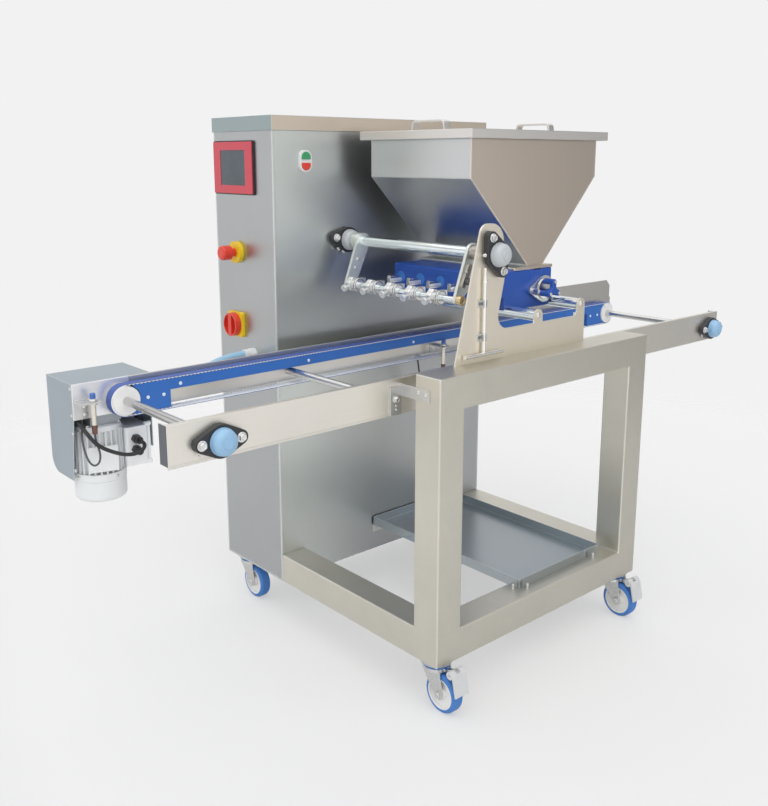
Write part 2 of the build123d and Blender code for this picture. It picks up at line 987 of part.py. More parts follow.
# rocker: shaft, two arms, bar with split clamps
rear_arm_y = cab_front - rear_arm_from_cabinet
front_arm_y = plate_front + front_arm_from_plate
with BuildPart() as rocker_shaft:
    shaft_back = cab_front + sheet + shaft_tail
    with BuildSketch(front_plane(shaft_back)):
        with Locations((rocker_x, rocker_height)):
            Circle(journal)
    extrude(amount=shaft_back - plate_front + bearing_boss - gap)
    with BuildSketch(front_plane(cab_front - bearing_boss - gap)):
        with Locations((rocker_x, rocker_height)):
            Circle(rocker_shaft_radius)
    extrude(amount=cab_front - bearing_boss - 2 * gap - plate_back)
    with BuildSketch(front_plane(rear_arm_y)):
        with Locations((bar_x, bar_z)):
            Circle(bar_radius)
    extrude(amount=rear_arm_y - front_arm_y + arm_thick + bush_length)

with BuildPart() as rocker_arms:
    for y in (rear_arm_y, front_arm_y):
        with BuildSketch(front_plane(y)):
            with Locations((rocker_x, rocker_height)):
                Circle(arm_top)
            with Locations((bar_x, bar_z)):
                Circle(arm_bottom)
            with Locations((bar_x + arm_heel, bar_z + arm_heel)):
                Circle(arm_bottom)
            make_hull()
            with Locations((rocker_x, rocker_height)):
                Circle(rocker_shaft_radius + running_fit, mode=Mode.SUBTRACT)
            with Locations((bar_x, bar_z)):
                Circle(bar_radius + running_fit, mode=Mode.SUBTRACT)
        extrude(amount=arm_thick)
    with BuildSketch(front_plane(front_arm_y - arm_thick)):
        with Locations(Location(((rocker_x + bar_x) / 2, (rocker_height + bar_z) / 2, 0), -arm_lean)):
            SlotOverall(link_length, link_width, rotation=90)
    extrude(amount=link_thick)

hexagon_back = clamp_ring_width / 2 + clamp_body + clamp_width
with BuildPart() as rod_clamps:
    for y in piston_rows:
        with BuildSketch(front_plane(y + hexagon_back)):
            with Locations((bar_x, bar_z)):
                RegularPolygon(clamp_size / 2, 6, major_radius=False, rotation=screw_lean)
                Circle(bar_radius + running_fit, mode=Mode.SUBTRACT)
        extrude(amount=clamp_width)
        with BuildSketch(front_plane(y + hexagon_back - clamp_width)):
            with Locations((bar_x, bar_z)):
                Circle(clamp_ring - cheek)
            with Locations((bar_x + clamp_ear - clamp_ear_width / 2, bar_z + clamp_ear_width / 2)):
                Rectangle(clamp_ear_width, clamp_ear_width)
            make_hull()
            with Locations((bar_x, bar_z)):
                Circle(bar_radius + running_fit, mode=Mode.SUBTRACT)
        extrude(amount=clamp_body)
        with BuildSketch(front_plane(y + clamp_ring_width / 2)):
            with Locations((bar_x, bar_z)):
                Circle(clamp_ring)
                Circle(bar_radius + running_fit, mode=Mode.SUBTRACT)
        extrude(amount=clamp_ring_width)
    screw_aim = (-cos(radians(screw_lean)), 0, -sin(radians(screw_lean)))
    for y in piston_rows:
        y += hexagon_back - clamp_width / 2
        start = (
            bar_x + screw_aim[0] * clamp_size / 2.2,
            y,
            bar_z + screw_aim[2] * clamp_size / 2.2,
        )
        with BuildSketch(Plane(origin=start, z_dir=screw_aim)):
            Circle(screw_radius)
        extrude(amount=screw_reach - clamp_size / 2.2)
        head = (bar_x + screw_aim[0] * screw_reach, y, bar_z + screw_aim[2] * screw_reach)
        with BuildSketch(Plane(origin=head, z_dir=screw_aim)):
            Circle(screw_head)
        extrude(amount=screw_head_thick)
    with BuildSketch(front_plane(front_arm_y - arm_thick)):
        with Locations((bar_x, bar_z)):
            Circle(bush_radius)
            Circle(bar_radius + running_fit, mode=Mode.SUBTRACT)
    extrude(amount=bush_length)

# conveyor: rail plate with guard, front beam, guide strips, belts, pulleys on their shafts
belt_inner = pulley_radius + gap
belt_root = belt_inner + tooth_layer
belt_outer = belt_root + belt_back
rear_belt = rail_front - belt_from_rail
front_belt = beam_inside + belt_from_beam + belt_width
belt_span = idler_x - drive_x
belt_mid = (drive_x + idler_x) / 2

with BuildPart() as rail:
    with BuildSketch(front_plane(rail_back)):
        with Locations((0, (rail_bottom + rail_top) / 2)):
            Rectangle(rail_length, rail_top - rail_bottom)
        with Locations((drive_x, shaft_height), (idler_x, shaft_height)):
            Circle(journal + rail_thick, mode=Mode.SUBTRACT)
    extrude(amount=rail_thick)
with BuildPart() as guard:
    with BuildSketch(front_plane(rail_back + guard_thick)):
        with BuildLine():
            Polyline(
                (rail_right - guard_length, rail_top - guard_lap),
                (rail_right, rail_top - guard_lap),
                (rail_right, rail_top + guard_height - guard_clip),
                (rail_right - guard_clip, rail_top + guard_height),
                (rail_right - guard_length, rail_top + guard_height),
                close=True,
            )
        make_face()
    extrude(amount=guard_thick)
rail_plate = Compound([rail.part.solid(), guard.part.solid()])

beam_mid = (rail_left + beam_right) / 2
with BuildPart() as front_beam:
    with BuildSketch(side_plane(rail_left)):
        with BuildLine():
            Polyline(
                (beam_front, rail_bottom),
                (beam_front, rail_top),
                (beam_front + beam_lip, rail_top),
                (beam_front + beam_lip, rail_top - beam_thick),
                (beam_inside, rail_top - beam_thick),
                (beam_inside, rail_bottom),
                close=True,
            )
        make_face()
    extrude(amount=beam_length)
    for start in (rail_left, beam_right - beam_thick):
        with BuildSketch(side_plane(start)):
            with Locations((beam_front + beam_return / 2, (rail_bottom + rail_top) / 2)):
                Rectangle(beam_return, rail_top - rail_bottom)
        extrude(amount=beam_thick)
    with BuildSketch(front_plane(beam_inside)):
        with Locations((drive_x, shaft_height), (idler_x, shaft_height)):
            Circle(journal + beam_thick)
    extrude(amount=beam_thick, mode=Mode.SUBTRACT)

strip_left = drive_x + strip_nose
strip_right = idler_x - strip_nose
strip_top = shaft_height + belt_inner - running_fit
strip_foot = shaft_height - belt_inner + running_fit


def guide_strip(back, depth):
    """Sliding strip below the top run, taller at both ends and hollowed round the pulleys."""
    with BuildPart() as strip:
        with BuildSketch(front_plane(back)):
            with BuildLine():
                Polyline(
                    (strip_left, strip_top),
                    (strip_right, strip_top),
                    (strip_right, strip_foot),
                    (strip_right - end_block_length, strip_foot),
                    (strip_right - end_block_length, strip_top - band_depth),
                    (strip_left + end_block_length, strip_top - band_depth),
                    (strip_left + end_block_length, strip_foot),
                    (strip_left, strip_foot),
                    close=True,
                )
            make_face()
            with Locations((drive_x, shaft_height), (idler_x, shaft_height)):
                Circle(pulley_radius + cheek_gap, mode=Mode.SUBTRACT)
        extrude(amount=depth)
    return strip.part.solid()


def belt_backing(back):
    with BuildPart() as loop:
        with BuildSketch(front_plane(back)):
            with Locations((belt_mid, shaft_height)):
                SlotCenterToCenter(belt_span, 2 * belt_outer)
                SlotCenterToCenter(belt_span, 2 * belt_root, mode=Mode.SUBTRACT)
        extrude(amount=belt_width)
    return loop.part.solid()


def belt_tooth_layer(back):
    """Inner layer of a belt: teeth along both runs, plain where it lies on the pulleys."""
    steps = 2 * round(belt_span / tooth_pitch)
    stations = [
        (drive_x + belt_span * i / steps, belt_inner + (tooth_depth if i % 2 else 0))
        for i in range(steps + 1)
    ]
    upper = [(x, shaft_height + reach) for x, reach in stations]
    lower = [(x, shaft_height - reach) for x, reach in reversed(stations)]
    with BuildPart() as layer:
        with BuildSketch(front_plane(back)):
            with Locations((belt_mid, shaft_height)):
                SlotCenterToCenter(belt_span, 2 * belt_root)
            with BuildLine():
                Polyline(*upper)
                ThreePointArc(upper[-1], (idler_x + belt_inner, shaft_height), lower[0])
                Polyline(*lower)
                ThreePointArc(lower[-1], (drive_x - belt_inner, shaft_height), upper[0])
            make_face(mode=Mode.SUBTRACT)
        extrude(amount=belt_width)
    return layer.part.solid()


def pulley_shaft(x, back):
    """Shaft between its bearings with a flanged pulley for each belt."""
    front = beam_front - bearing_boss + gap
    with BuildPart() as shaft:
        with BuildSketch(front_plane(back)):
            with Locations((x, shaft_height)):
                Circle(journal)
        extrude(amount=back - front)
        for edge in (rear_belt, front_belt):
            with BuildSketch(front_plane(edge + gap)):
                with Locations((x, shaft_height)):
                    Circle(pulley_radius)
            extrude(amount=belt_width + 2 * gap)
            for start in (edge + gap + flange_disc, edge - belt_width - gap):
                with BuildSketch(front_plane(start)):
                    with Locations((x, shaft_height)):
                        Circle(pulley_flange)
                extrude(amount=flange_disc)
    return shaft


guide_strips = Compound(
    [
        guide_strip(rail_front, belt_from_rail + belt_width),
        guide_strip(front_belt, belt_from_beam + belt_width),
    ]
)
belts = Compound([belt_backing(rear_belt), belt_backing(front_belt)])
belt_teeth = Compound([belt_tooth_layer(rear_belt), belt_tooth_layer(front_belt)])
drive_shaft = pulley_shaft(drive_x, rail_back + gearbox_body)
idler_shaft = pulley_shaft(idler_x, rail_back + bearing_boss - gap)

with BuildPart() as cross_bars:
    with BuildSketch(front_plane(rail_front)):
        with Locations(
            (cab_left - cross_bar_offset, rail_top - cross_bar_below),
            (cab_right + cross_bar_offset, rail_top - cross_bar_below),
        ):
            Circle(cross_bar_radius)
    extrude(amount=rail_front - beam_inside)
    with BuildSketch(front_plane(cab_front)):
        with Locations(
            (cab_left + standoff_inset, shaft_height),
            (cab_right - standoff_inset, shaft_height),
        ):
            Circle(standoff_radius)
    extrude(amount=cab_front - rail_back)

# brackets: front beam to legs, sensor tabs, tool clips, cable clips
sensor_1_x = rail_left + sensor_1_from_end
sensor_1_y = rail_front - sensor_1_reach
sensor_2_x = cab_left + sensor_2_from_left
sensor_2_y = rail_front - sensor_2_reach
tool_x = cab_left + tool_from_left
tool_y = plate_front - tool_reach
tool_low = frame_top + tool_rise
tool_top = tool_low + tool_length
sensor_1_tab = rail_top - sensor_1_below
sensor_2_tab = rail_top - sensor_2_below
arm_end = portal_back - bracket_arm_end


def beam_bracket(corner, out):
    """Angle with a plate on the beam and an arm along the leg, out = -1 left, 1 right."""
    with BuildPart() as angle:
        with BuildSketch(front_plane(beam_front)):
            with Locations(
                (corner + out * bracket_width / 2, rail_top - bracket_below - bracket_depth / 2)
            ):
                Rectangle(bracket_width, bracket_depth)
        extrude(amount=bracket_thick)
        with BuildSketch(side_plane(corner)):
            with Locations(
                ((beam_front + arm_end) / 2, rail_top - bracket_arm_below - bracket_arm_depth / 2)
            ):
                Rectangle(beam_front - arm_end, bracket_arm_depth)
        extrude(amount=out * bracket_thick)
    return angle.part.solid()


def sensor_tab(x, wide_left, wide_right, reach, low, top):
    """Angle screwed to the rail plate whose flat tab holds a sensor."""
    with BuildPart() as tab:
        with BuildSketch(side_plane(x - wide_left)):
            with BuildLine():
                Polyline(
                    (rail_front, low),
                    (rail_front, top),
                    (rail_front - reach, top),
                    (rail_front - reach, top - tab_thick),
                    (rail_front - tab_thick, top - tab_thick),
                    (rail_front - tab_thick, low),
                    close=True,
                )
            make_face()
        extrude(amount=wide_left + wide_right)
        with BuildSketch(level(top)):
            with Locations((x, rail_front - reach + sensor_edge)):
                Circle(sensor_radius + running_fit)
        extrude(amount=-tab_thick, mode=Mode.SUBTRACT)
    return tab.part.solid()


def tool_clip(z):
    """Screwed spring clip, open to the front, for the tool's rod."""
    inside = tool_radius + gap
    with BuildPart() as clip:
        with BuildSketch(level(z - clip_tall / 2)):
            with BuildLine():
                Polyline(
                    (tool_x - inside - clip_wall - clip_wide, plate_front),
                    (tool_x - inside - clip_wall - clip_wide, plate_front - clip_wall),
                    (tool_x - inside - clip_wall, plate_front - clip_wall),
                    (tool_x - inside - clip_wall, tool_y - tool_radius),
                    (tool_x - inside, tool_y - tool_radius),
                    (tool_x - inside, plate_front - clip_wall),
                    (tool_x + inside, plate_front - clip_wall),
                    (tool_x + inside, tool_y - tool_radius),
                    (tool_x + inside + clip_wall, tool_y - tool_radius),
                    (tool_x + inside + clip_wall, plate_front),
                    close=True,
                )
            make_face()
        extrude(amount=clip_tall)
    return clip.part.solid()


def cable_clip(x, y, z):
    with BuildPart() as clip:
        with Locations((x, y, z)):
            Box(clip_size, clip_size, clip_size)
    return clip.part.solid()


rail_clip = (cab_left + rail_clip_from_left, (rail_front + rail_back) / 2, rail_bottom - clip_size / 2)
hood_clip = (
    rail_left + hood_clip_from_end, rail_back + clip_size / 2, rail_top - hood_clip_below
)
steel_brackets = Compound(
    [
        beam_bracket(cab_left, -1),
        beam_bracket(cab_right, 1),
        sensor_tab(
            sensor_1_x, sensor_1_from_end, sensor_edge,
            sensor_1_reach + sensor_edge, rail_bottom, sensor_1_tab + tab_thick,
        ),
        sensor_tab(
            sensor_2_x, sensor_edge, sensor_edge,
            sensor_2_reach + sensor_edge, rail_bottom, sensor_2_tab + tab_thick,
        ),
        cable_clip(*rail_clip),
        cable_clip(*hood_clip),
    ]
    + [tool_clip(frame_top + clip_low + i * clip_spacing) for i in (1, 0)]
)

# drive: sheet hood, worm gearbox, hanging motor with terminal box and fan cover
hood_right = rail_left + hood_width
hood_back = rail_back + hood_depth
hood_bottom = rail_top - hood_drop
hood_right_bottom = rail_top - hood_right_drop
hood_gland_height = rail_top - hood_gland_below
with BuildPart() as hood:
    with BuildSketch(side_plane(rail_left)):
        with BuildLine():
            FilletPolyline(
                (rail_back, hood_bottom),
                (rail_back, rail_top),
                (hood_back, rail_top),
                (hood_back, hood_bottom),
                radius=(0, 0, 0, hood_round),
                close=True,
            )
        make_face()
    extrude(amount=hood_width)
    with BuildSketch(side_plane(rail_left + sheet)):
        with BuildLine():
            FilletPolyline(
                (rail_back, hood_bottom),
                (rail_back, rail_top - sheet),
                (hood_back - sheet, rail_top - sheet),
                (hood_back - sheet, hood_bottom + sheet),
                (hood_back - hood_round, hood_bottom + sheet),
                (hood_back - hood_round, hood_bottom),
                radius=(0, 0, 0, hood_round - 1.01 * sheet, 0, 0),
                close=True,
            )
        make_face()
    extrude(amount=hood_width - 2 * sheet, mode=Mode.SUBTRACT)
    with BuildSketch(side_plane(rail_left)):
        with BuildLine():
            Polyline(
                (rail_back, hood_bottom),
                (rail_back, rail_bottom),
                (rail_back + hood_slant, hood_bottom),
                close=True,
            )
        make_face()
    extrude(amount=sheet, mode=Mode.SUBTRACT)
    with BuildSketch(side_plane(hood_right - sheet)):
        with Locations(((rail_back + hood_back) / 2, (hood_bottom + hood_right_bottom) / 2)):
            Rectangle(hood_depth, hood_right_bottom - hood_bottom)
    extrude(amount=sheet, mode=Mode.SUBTRACT)
    with BuildSketch(side_plane(hood_right - sheet)):
        with Locations((rail_back + hood_gland_depth, hood_gland_height)):
            Circle(motor_cable_radius + gap)
    extrude(amount=sheet, mode=Mode.SUBTRACT)

gearbox_margin = (gearbox_depth - gearbox_body) / 2
worm_top = shaft_height + worm_rise
fin_low = worm_low - fin_drop
fan_low = worm_low - fan_drop
with BuildPart() as gearbox:
    with BuildSketch(front_plane(rail_back + gearbox_depth - gearbox_margin)):
        with Locations((drive_x, shaft_height)):
            Circle(gearbox_round)
        with Locations((motor_x, (worm_low + worm_top) / 2)):
            Rectangle(2 * worm_half, worm_top - worm_low)
        make_hull()
    extrude(amount=gearbox_body)
    with BuildSketch(front_plane(rail_back + gearbox_depth)):
        with Locations((drive_x, shaft_height)):
            Circle(hub_disc)
    extrude(amount=gearbox_depth)
    with BuildSketch(front_plane(rail_back + gearbox_depth)):
        with Locations((drive_x, shaft_height)):
            Circle(journal + running_fit)
    extrude(amount=gearbox_depth, mode=Mode.SUBTRACT)

with BuildPart() as motor:
    with BuildSketch(level(worm_low - motor_flange_thick)):
        with Locations((motor_x, motor_y)):
            Circle(motor_flange_radius)
    extrude(amount=motor_flange_thick)
    with BuildSketch(level(fin_low)):
        with Locations((motor_x, motor_y)):
            Circle(motor_core)
            with PolarLocations((motor_core + fin_radius) / 2, fin_count):
                Rectangle(fin_radius - motor_core + 2 * fin_thick, fin_thick)
            Circle(fin_radius, mode=Mode.INTERSECT)
    extrude(amount=worm_low - motor_flange_thick - fin_low)
    with BuildSketch(level(worm_low - terminal_below)):
        with Locations((motor_x + (terminal_near + terminal_far) / 2, motor_y)):
            RectangleRounded(terminal_far - terminal_near, terminal_width, terminal_round)
    extrude(amount=-terminal_height)

with BuildPart() as fan_cover:
    with BuildSketch(level(fan_low)):
        with Locations((motor_x, motor_y)):
            Circle(fan_radius)
    extrude(amount=fan_depth)
    fillet(fan_cover.edges().filter_by(GeomType.CIRCLE).sort_by(Axis.Z)[0], fan_round)
    mouth = fan_cover.faces().sort_by(Axis.Z)[-1]
    offset(amount=-fan_wall, openings=mouth)
    with BuildSketch(level(fan_low)):
        with Locations((motor_x, motor_y)):
            with PolarLocations(fan_radius / 2, fan_slots):
                SlotOverall(fan_radius / 2, 2 * fin_thick)
    extrude(amount=fan_wall, mode=Mode.SUBTRACT)

# glands, cables and the hose to the cabinet
gland_x = motor_x + gland_from_axis
gland_y = motor_y - terminal_width / 2
gland_high = worm_low - gland_below
gland_low = gland_high - gland_spacing
hose_y = cab_front + hose_from_cabinet
hose_height = rail_top - hose_below
hood_gland_y = rail_back + hood_gland_depth
with BuildPart() as cable_glands:
    for z in (gland_high, gland_low):
        with BuildSketch(front_plane(gland_y)):
            with Locations((gland_x, z)):
                RegularPolygon(gland_radius, 6)
        extrude(amount=gland_length)
        with BuildSketch(front_plane(gland_y - gland_length)):
            with Locations((gland_x, z)):
                Circle(gland_nose_radius)
        extrude(amount=gland_nose)
    for face, out, y, z in (
        (cab_left, -1, hose_y, hose_height),
        (hood_right, 1, hood_gland_y, hood_gland_height),
    ):
        with BuildSketch(side_plane(face)):
            with Locations((y, z)):
                RegularPolygon(hose_gland_radius, 6)
        extrude(amount=out * hose_gland_length)
        with BuildSketch(side_plane(face + out * hose_gland_length)):
            with Locations((y, z)):
                Circle(hose_nose_radius)
        extrude(amount=out * hose_nose)

cable_start = gland_y - gland_length - gland_nose
hood_inside = hood_right - sheet
motor_cable = cord(
    [
        (gland_x, cable_start, gland_high),
        (gland_x, cable_start - 24, gland_high),
        (gland_x - 8, cable_start - 38, gland_high - 8),
        (gland_x - 26, cable_start - 40, gland_high - 16),
        (gland_x - 48, cable_start - 32, gland_high - 17),
        (gland_x - 70, cable_start - 24, gland_high - 10),
        (gland_x - 95, cable_start - 16, gland_high + 3),
        (gland_x - 112, cable_start - 8, gland_high + 18),
        (gland_x - 124, cable_start + 2, gland_high + 38),
        (gland_x - 129, cable_start + 16, gland_high + 52),
        (gland_x - 132, cable_start + 40, gland_high + 65),
        (gland_x - 128, cable_start + 78, gland_high + 105),
        (gland_x - 102, cable_start + 136, gland_high + 123),
        (gland_x - 40, cable_start + 146, gland_high + 121),
        (hood_inside - 36, hood_gland_y, hood_gland_height),
        (hood_inside, hood_gland_y, hood_gland_height),
    ],
    motor_cable_radius,
)
hose_start = cab_left - hose_gland_length - hose_nose
hose_end = hood_right + hose_gland_length + hose_nose
conduit_hose = cord(
    [
        (hose_start, hose_y, hose_height),
        (hose_start - 60, hose_y, hose_height),
        (hose_start - 165, hose_y - 28, hose_height - 22),
        (hose_end + 60, hood_gland_y, hood_gland_height),
        (hose_end, hood_gland_y, hood_gland_height),
    ],
    hose_radius,
)


def sensor(x, y, tab):
    """Threaded sensor clamped in its tab by two nuts, with the plug of its cable below."""
    with BuildPart() as body:
        low = tab - sensor_below
        with BuildSketch(level(low)):
            with Locations((x, y)):
                Circle(sensor_radius)
        extrude(amount=sensor_below + tab_thick + sensor_above)
        for start in (tab - sensor_nut_thick, tab + tab_thick):
            with BuildSketch(level(start)):
                with Locations((x, y)):
                    RegularPolygon(sensor_nut, 6)
            extrude(amount=sensor_nut_thick)
        with BuildSketch(level(low)):
            with Locations((x, y)):
                Circle(plug_radius)
        extrude(amount=-plug_length, taper=4)
    return body.part.solid()


sensors = Compound(
    [
        sensor(sensor_1_x, sensor_1_y, sensor_1_tab),
        sensor(sensor_2_x, sensor_2_y, sensor_2_tab),
    ]
)
plug_1_end = sensor_1_tab - sensor_below - plug_length
plug_2_end = sensor_2_tab - sensor_below - plug_length
sensor_cables = Compound(
    [
        cord(
            [
                (sensor_1_x, sensor_1_y, plug_1_end),
                (sensor_1_x, sensor_1_y, plug_1_end - 18),
                (sensor_1_x + 5, sensor_1_y - 4, plug_1_end - 36),
                (sensor_1_x + 7, sensor_1_y - 6, plug_1_end - 54),
                (sensor_1_x + 1, sensor_1_y - 8, plug_1_end - 70),
                (sensor_1_x - 12, sensor_1_y - 7, plug_1_end - 73),
                (sensor_1_x - 22, sensor_1_y - 3, plug_1_end - 58),
                (sensor_1_x - 26, sensor_1_y + 5, plug_1_end - 34),
                (sensor_1_x - 25, sensor_1_y + 16, plug_1_end - 8),
                (hood_clip[0], hood_clip[1], plug_1_end + 14),
                (hood_clip[0], hood_clip[1], hood_clip[2] - clip_size / 2),
            ],
            sensor_cable_radius,
        ),
        cord(
            [
                (sensor_2_x, sensor_2_y, plug_2_end),
                (sensor_2_x, sensor_2_y, plug_2_end - 26),
                (sensor_2_x - 10, sensor_2_y + 12, plug_2_end - 52),
                (sensor_2_x - 34, sensor_2_y + 30, plug_2_end - 56),
                (sensor_2_x - 58, sensor_2_y + 45, plug_2_end - 34),
                (rail_clip[0], rail_clip[1], plug_2_end - 12),
                (rail_clip[0], rail_clip[1], rail_clip[2] - clip_size / 2),
            ],
            sensor_cable_radius,
        ),
    ]
)

# controls: screen, emergency stop, main switch and the pair of push-buttons
screen_y = cab_front + screen_centre
screen_height = cabinet_top - screen_below
with BuildPart() as screen_frame:
    with BuildSketch(side_plane(cab_left)):
        with Locations((screen_y, screen_height)):
            RectangleRounded(screen_wide, screen_high, 2 * bezel_margin)
    extrude(amount=-screen_frame_thick)

with BuildPart() as screen_bezel:
    with BuildSketch(side_plane(cab_left - screen_frame_thick)):
        with Locations((screen_y, screen_height)):
            RectangleRounded(
                screen_wide - 2 * bezel_margin, screen_high - 2 * bezel_margin, bezel_margin
            )
            Rectangle(glass_wide, glass_high, mode=Mode.SUBTRACT)
    extrude(amount=-bezel_thick)

with BuildPart() as screen_glass:
    with BuildSketch(side_plane(cab_left - screen_frame_thick)):
        with Locations((screen_y, screen_height)):
            Rectangle(glass_wide, glass_high)
    extrude(amount=-bezel_thick + glass_deep)

stop_y = cab_front + stop_from_front
switch_y = cab_front + switch_from_front
stop_height = cabinet_top - stop_below
switch_height = cabinet_top - switch_below
with BuildPart() as switch_plates:
    with BuildSketch(side_plane(cab_left)):
        with Locations((stop_y, stop_height)):
            Circle(stop_collar)
            Circle(stop_stem + gap, mode=Mode.SUBTRACT)
    extrude(amount=-stop_collar_thick)
    with BuildSketch(side_plane(cab_left)):
        with Locations((switch_y, switch_height)):
            RectangleRounded(switch_plate, switch_plate, switch_plate_round)
    extrude(amount=-switch_plate_thick)

with BuildPart() as stop_button:
    with BuildSketch(side_plane(cab_left - stop_reach + stop_head_thick)):
        with Locations((stop_y, stop_height)):
            Circle(stop_head)
    extrude(amount=-stop_head_thick)
    dome = stop_button.edges().filter_by(GeomType.CIRCLE).sort_by(Axis.X)[0]
    fillet(dome, stop_head / 3)
    with BuildSketch(side_plane(cab_left - stop_reach + stop_head_thick)):
        with Locations((stop_y, stop_height)):
            Circle(stop_stem)
    extrude(amount=stop_reach - stop_head_thick - stop_travel - gap)

with BuildPart() as switch_knob:
    with BuildSketch(side_plane(cab_left - switch_plate_thick - gap)):
        with Locations((switch_y, switch_height)):
            Circle(switch_rim)
    extrude(amount=-switch_deep)
    brim = switch_knob.edges().filter_by(GeomType.CIRCLE).sort_by(Axis.X)[0]
    fillet(brim, switch_rim_wall / 2)
    with BuildSketch(side_plane(cab_left - switch_plate_thick - gap - switch_deep)):
        with Locations((switch_y, switch_height)):
            Circle(switch_rim - switch_rim_wall)
            Rectangle(switch_bar, 2 * switch_rim, mode=Mode.SUBTRACT)
    extrude(amount=switch_hollow, mode=Mode.SUBTRACT)

buttons_x = cab_left + buttons_from_left
buttons_height = cabinet_top - buttons_below
button_seat = cab_front - buttons_thick + button_depth


def button_outline(side, grow):
    """Half of a rounded oval, side = 1 for the upper button and -1 for the lower."""
    inset = 2 * (button_rim - grow)
    reach = buttons_high / 2
    with Locations((buttons_x, buttons_height)):
        SlotOverall(buttons_high - inset, buttons_wide - inset, rotation=90)
        with Locations((0, side * (button_split - grow + reach / 2))):
            Rectangle(buttons_wide, reach, mode=Mode.INTERSECT)


with BuildPart() as button_plate:
    with BuildSketch(front_plane(cab_front)):
        with Locations((buttons_x, buttons_height)):
            SlotOverall(buttons_high, buttons_wide, rotation=90)
    extrude(amount=buttons_thick)
    for side in (1, -1):
        with BuildSketch(front_plane(button_seat)):
            button_outline(side, gap)
        extrude(amount=button_depth, mode=Mode.SUBTRACT)


def push_button(side):
    with BuildPart() as button:
        with BuildSketch(front_plane(button_seat - button_travel - gap)):
            button_outline(side, 0)
        extrude(amount=button_depth + button_proud - button_travel - gap)
        crown = button.faces().sort_by(Axis.Y)[0].edges()
        fillet(crown, button_proud / 3)
    return button


start_button = push_button(1)
halt_button = push_button(-1)

# extraction tool in its clips
with BuildPart() as extraction_tool:
    with BuildSketch(level(tool_low)):
        with Locations((tool_x, tool_y)):
            Circle(tool_radius)
    extrude(amount=tool_top - tool_low - tool_tip_length)
    with BuildSketch(level(tool_top - tool_tip_length)):
        with Locations((tool_x, tool_y)):
            Circle(tool_tip)
    extrude(amount=tool_tip_length)
    with BuildSketch(level(tool_top - 2 * tool_tip_length)):
        with Locations((tool_x, tool_y)):
            Circle(tool_collar)
    extrude(amount=tool_collar)
    with BuildSketch(side_plane(tool_x - tool_grip_length / 2)):
        with Locations((tool_y, tool_low)):
            Circle(tool_grip_radius)
    extrude(amount=tool_grip_length)

nodes = {
    "cabinet_body": cabinet_body.part,
    "cabinet_cap": cabinet_cap.part,
    "portal_frame": portal_frame,
    "drip_tray": drip_tray.part,
    "caster_heads": caster_heads.part,
    "side_plate": side_plate.part,
    "support_rods": support_rods.part,
    "pump_block": pump_block.part,
    "pistons": pistons.part,
    "pump_fittings": pump_fittings.part,
    "valve_rotor": valve_rotor.part,
    "valve_knob": valve_knob.part,
    "hopper": hopper.part,
    "hopper_lid": hopper_lid.part,
    "bearing_housings": bearing_housings,
    "rocker_bearing_caps": rocker_bearing_caps,
    "conveyor_bearing_caps": conveyor_bearing_caps,
    "rocker_shaft": rocker_shaft.part,
    "rocker_arms": rocker_arms.part,
    "rod_clamps": rod_clamps.part,
    "rail_plate": rail_plate,
    "front_beam": front_beam.part,
    "guide_strips": guide_strips,
    "belts": belts,
    "belt_teeth": belt_teeth,
    "drive_shaft": drive_shaft.part,
    "idler_shaft": idler_shaft.part,
    "cross_bars": cross_bars.part,
    "steel_brackets": steel_brackets,
    "hood": hood.part,
    "gearbox": gearbox.part,
    "motor": motor.part,
    "fan_cover": fan_cover.part,
    "cable_glands": cable_glands.part,
    "motor_cable": motor_cable,
    "conduit_hose": conduit_hose,
    "sensors": sensors,
    "sensor_cables": sensor_cables,
    "screen_frame": screen_frame.part,
    "screen_bezel": screen_bezel.part,
    "screen_glass": screen_glass.part,
    "switch_plates": switch_plates.part,
    "stop_button": stop_button.part,
    "switch_knob": switch_knob.part,
    "button_plate": button_plate.part,
    "start_button": start_button.part,
    "halt_button": halt_button.part,
    "extraction_tool": extraction_tool.part,
}
for place, (x, y) in caster_places.items():
    braked = place.startswith("front")
    nodes[f"yoke_{place}"] = caster_yoke(x, y, braked).part
    nodes[f"wheel_{place}"] = caster_wheel(x, y).part
    if braked:
        nodes[f"pedal_{place}"] = brake_pedal(x, y).part
for name, solid in nodes.items():
    solid.label = name
    export_step(solid, f"parts/{name}.step")
print(len(nodes), "pieces written")
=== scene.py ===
# %% [markdown]
# # A batter depositor
# The machine fills baking trays: a hopper feeds a blue pump block, a rocker works five pistons,
# and two toothed belts carry the trays below the nozzles. The solids come ready from the CAD
# frame, in metres and in their final places. This lesson gives them finishes, adds the small
# fasteners and the cables, and lights the machine as in a plain product picture.

# %% Load the frame
import math
from itertools import product

import bmesh
import bpy
from mathutils import Matrix, Vector


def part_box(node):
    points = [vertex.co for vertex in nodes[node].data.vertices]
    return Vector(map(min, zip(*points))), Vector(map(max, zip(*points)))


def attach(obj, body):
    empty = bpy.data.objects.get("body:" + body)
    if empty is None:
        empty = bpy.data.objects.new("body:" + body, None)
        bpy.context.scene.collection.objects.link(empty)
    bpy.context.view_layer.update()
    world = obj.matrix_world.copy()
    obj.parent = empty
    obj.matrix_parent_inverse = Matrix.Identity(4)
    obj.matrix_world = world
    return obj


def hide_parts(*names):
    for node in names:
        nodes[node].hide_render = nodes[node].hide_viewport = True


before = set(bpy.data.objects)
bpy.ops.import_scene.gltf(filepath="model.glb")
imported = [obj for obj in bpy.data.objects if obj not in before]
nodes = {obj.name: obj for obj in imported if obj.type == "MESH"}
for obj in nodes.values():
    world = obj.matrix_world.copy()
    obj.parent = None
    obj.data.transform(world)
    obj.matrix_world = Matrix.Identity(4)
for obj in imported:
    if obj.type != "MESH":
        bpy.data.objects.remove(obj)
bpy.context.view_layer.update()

scene = bpy.context.scene
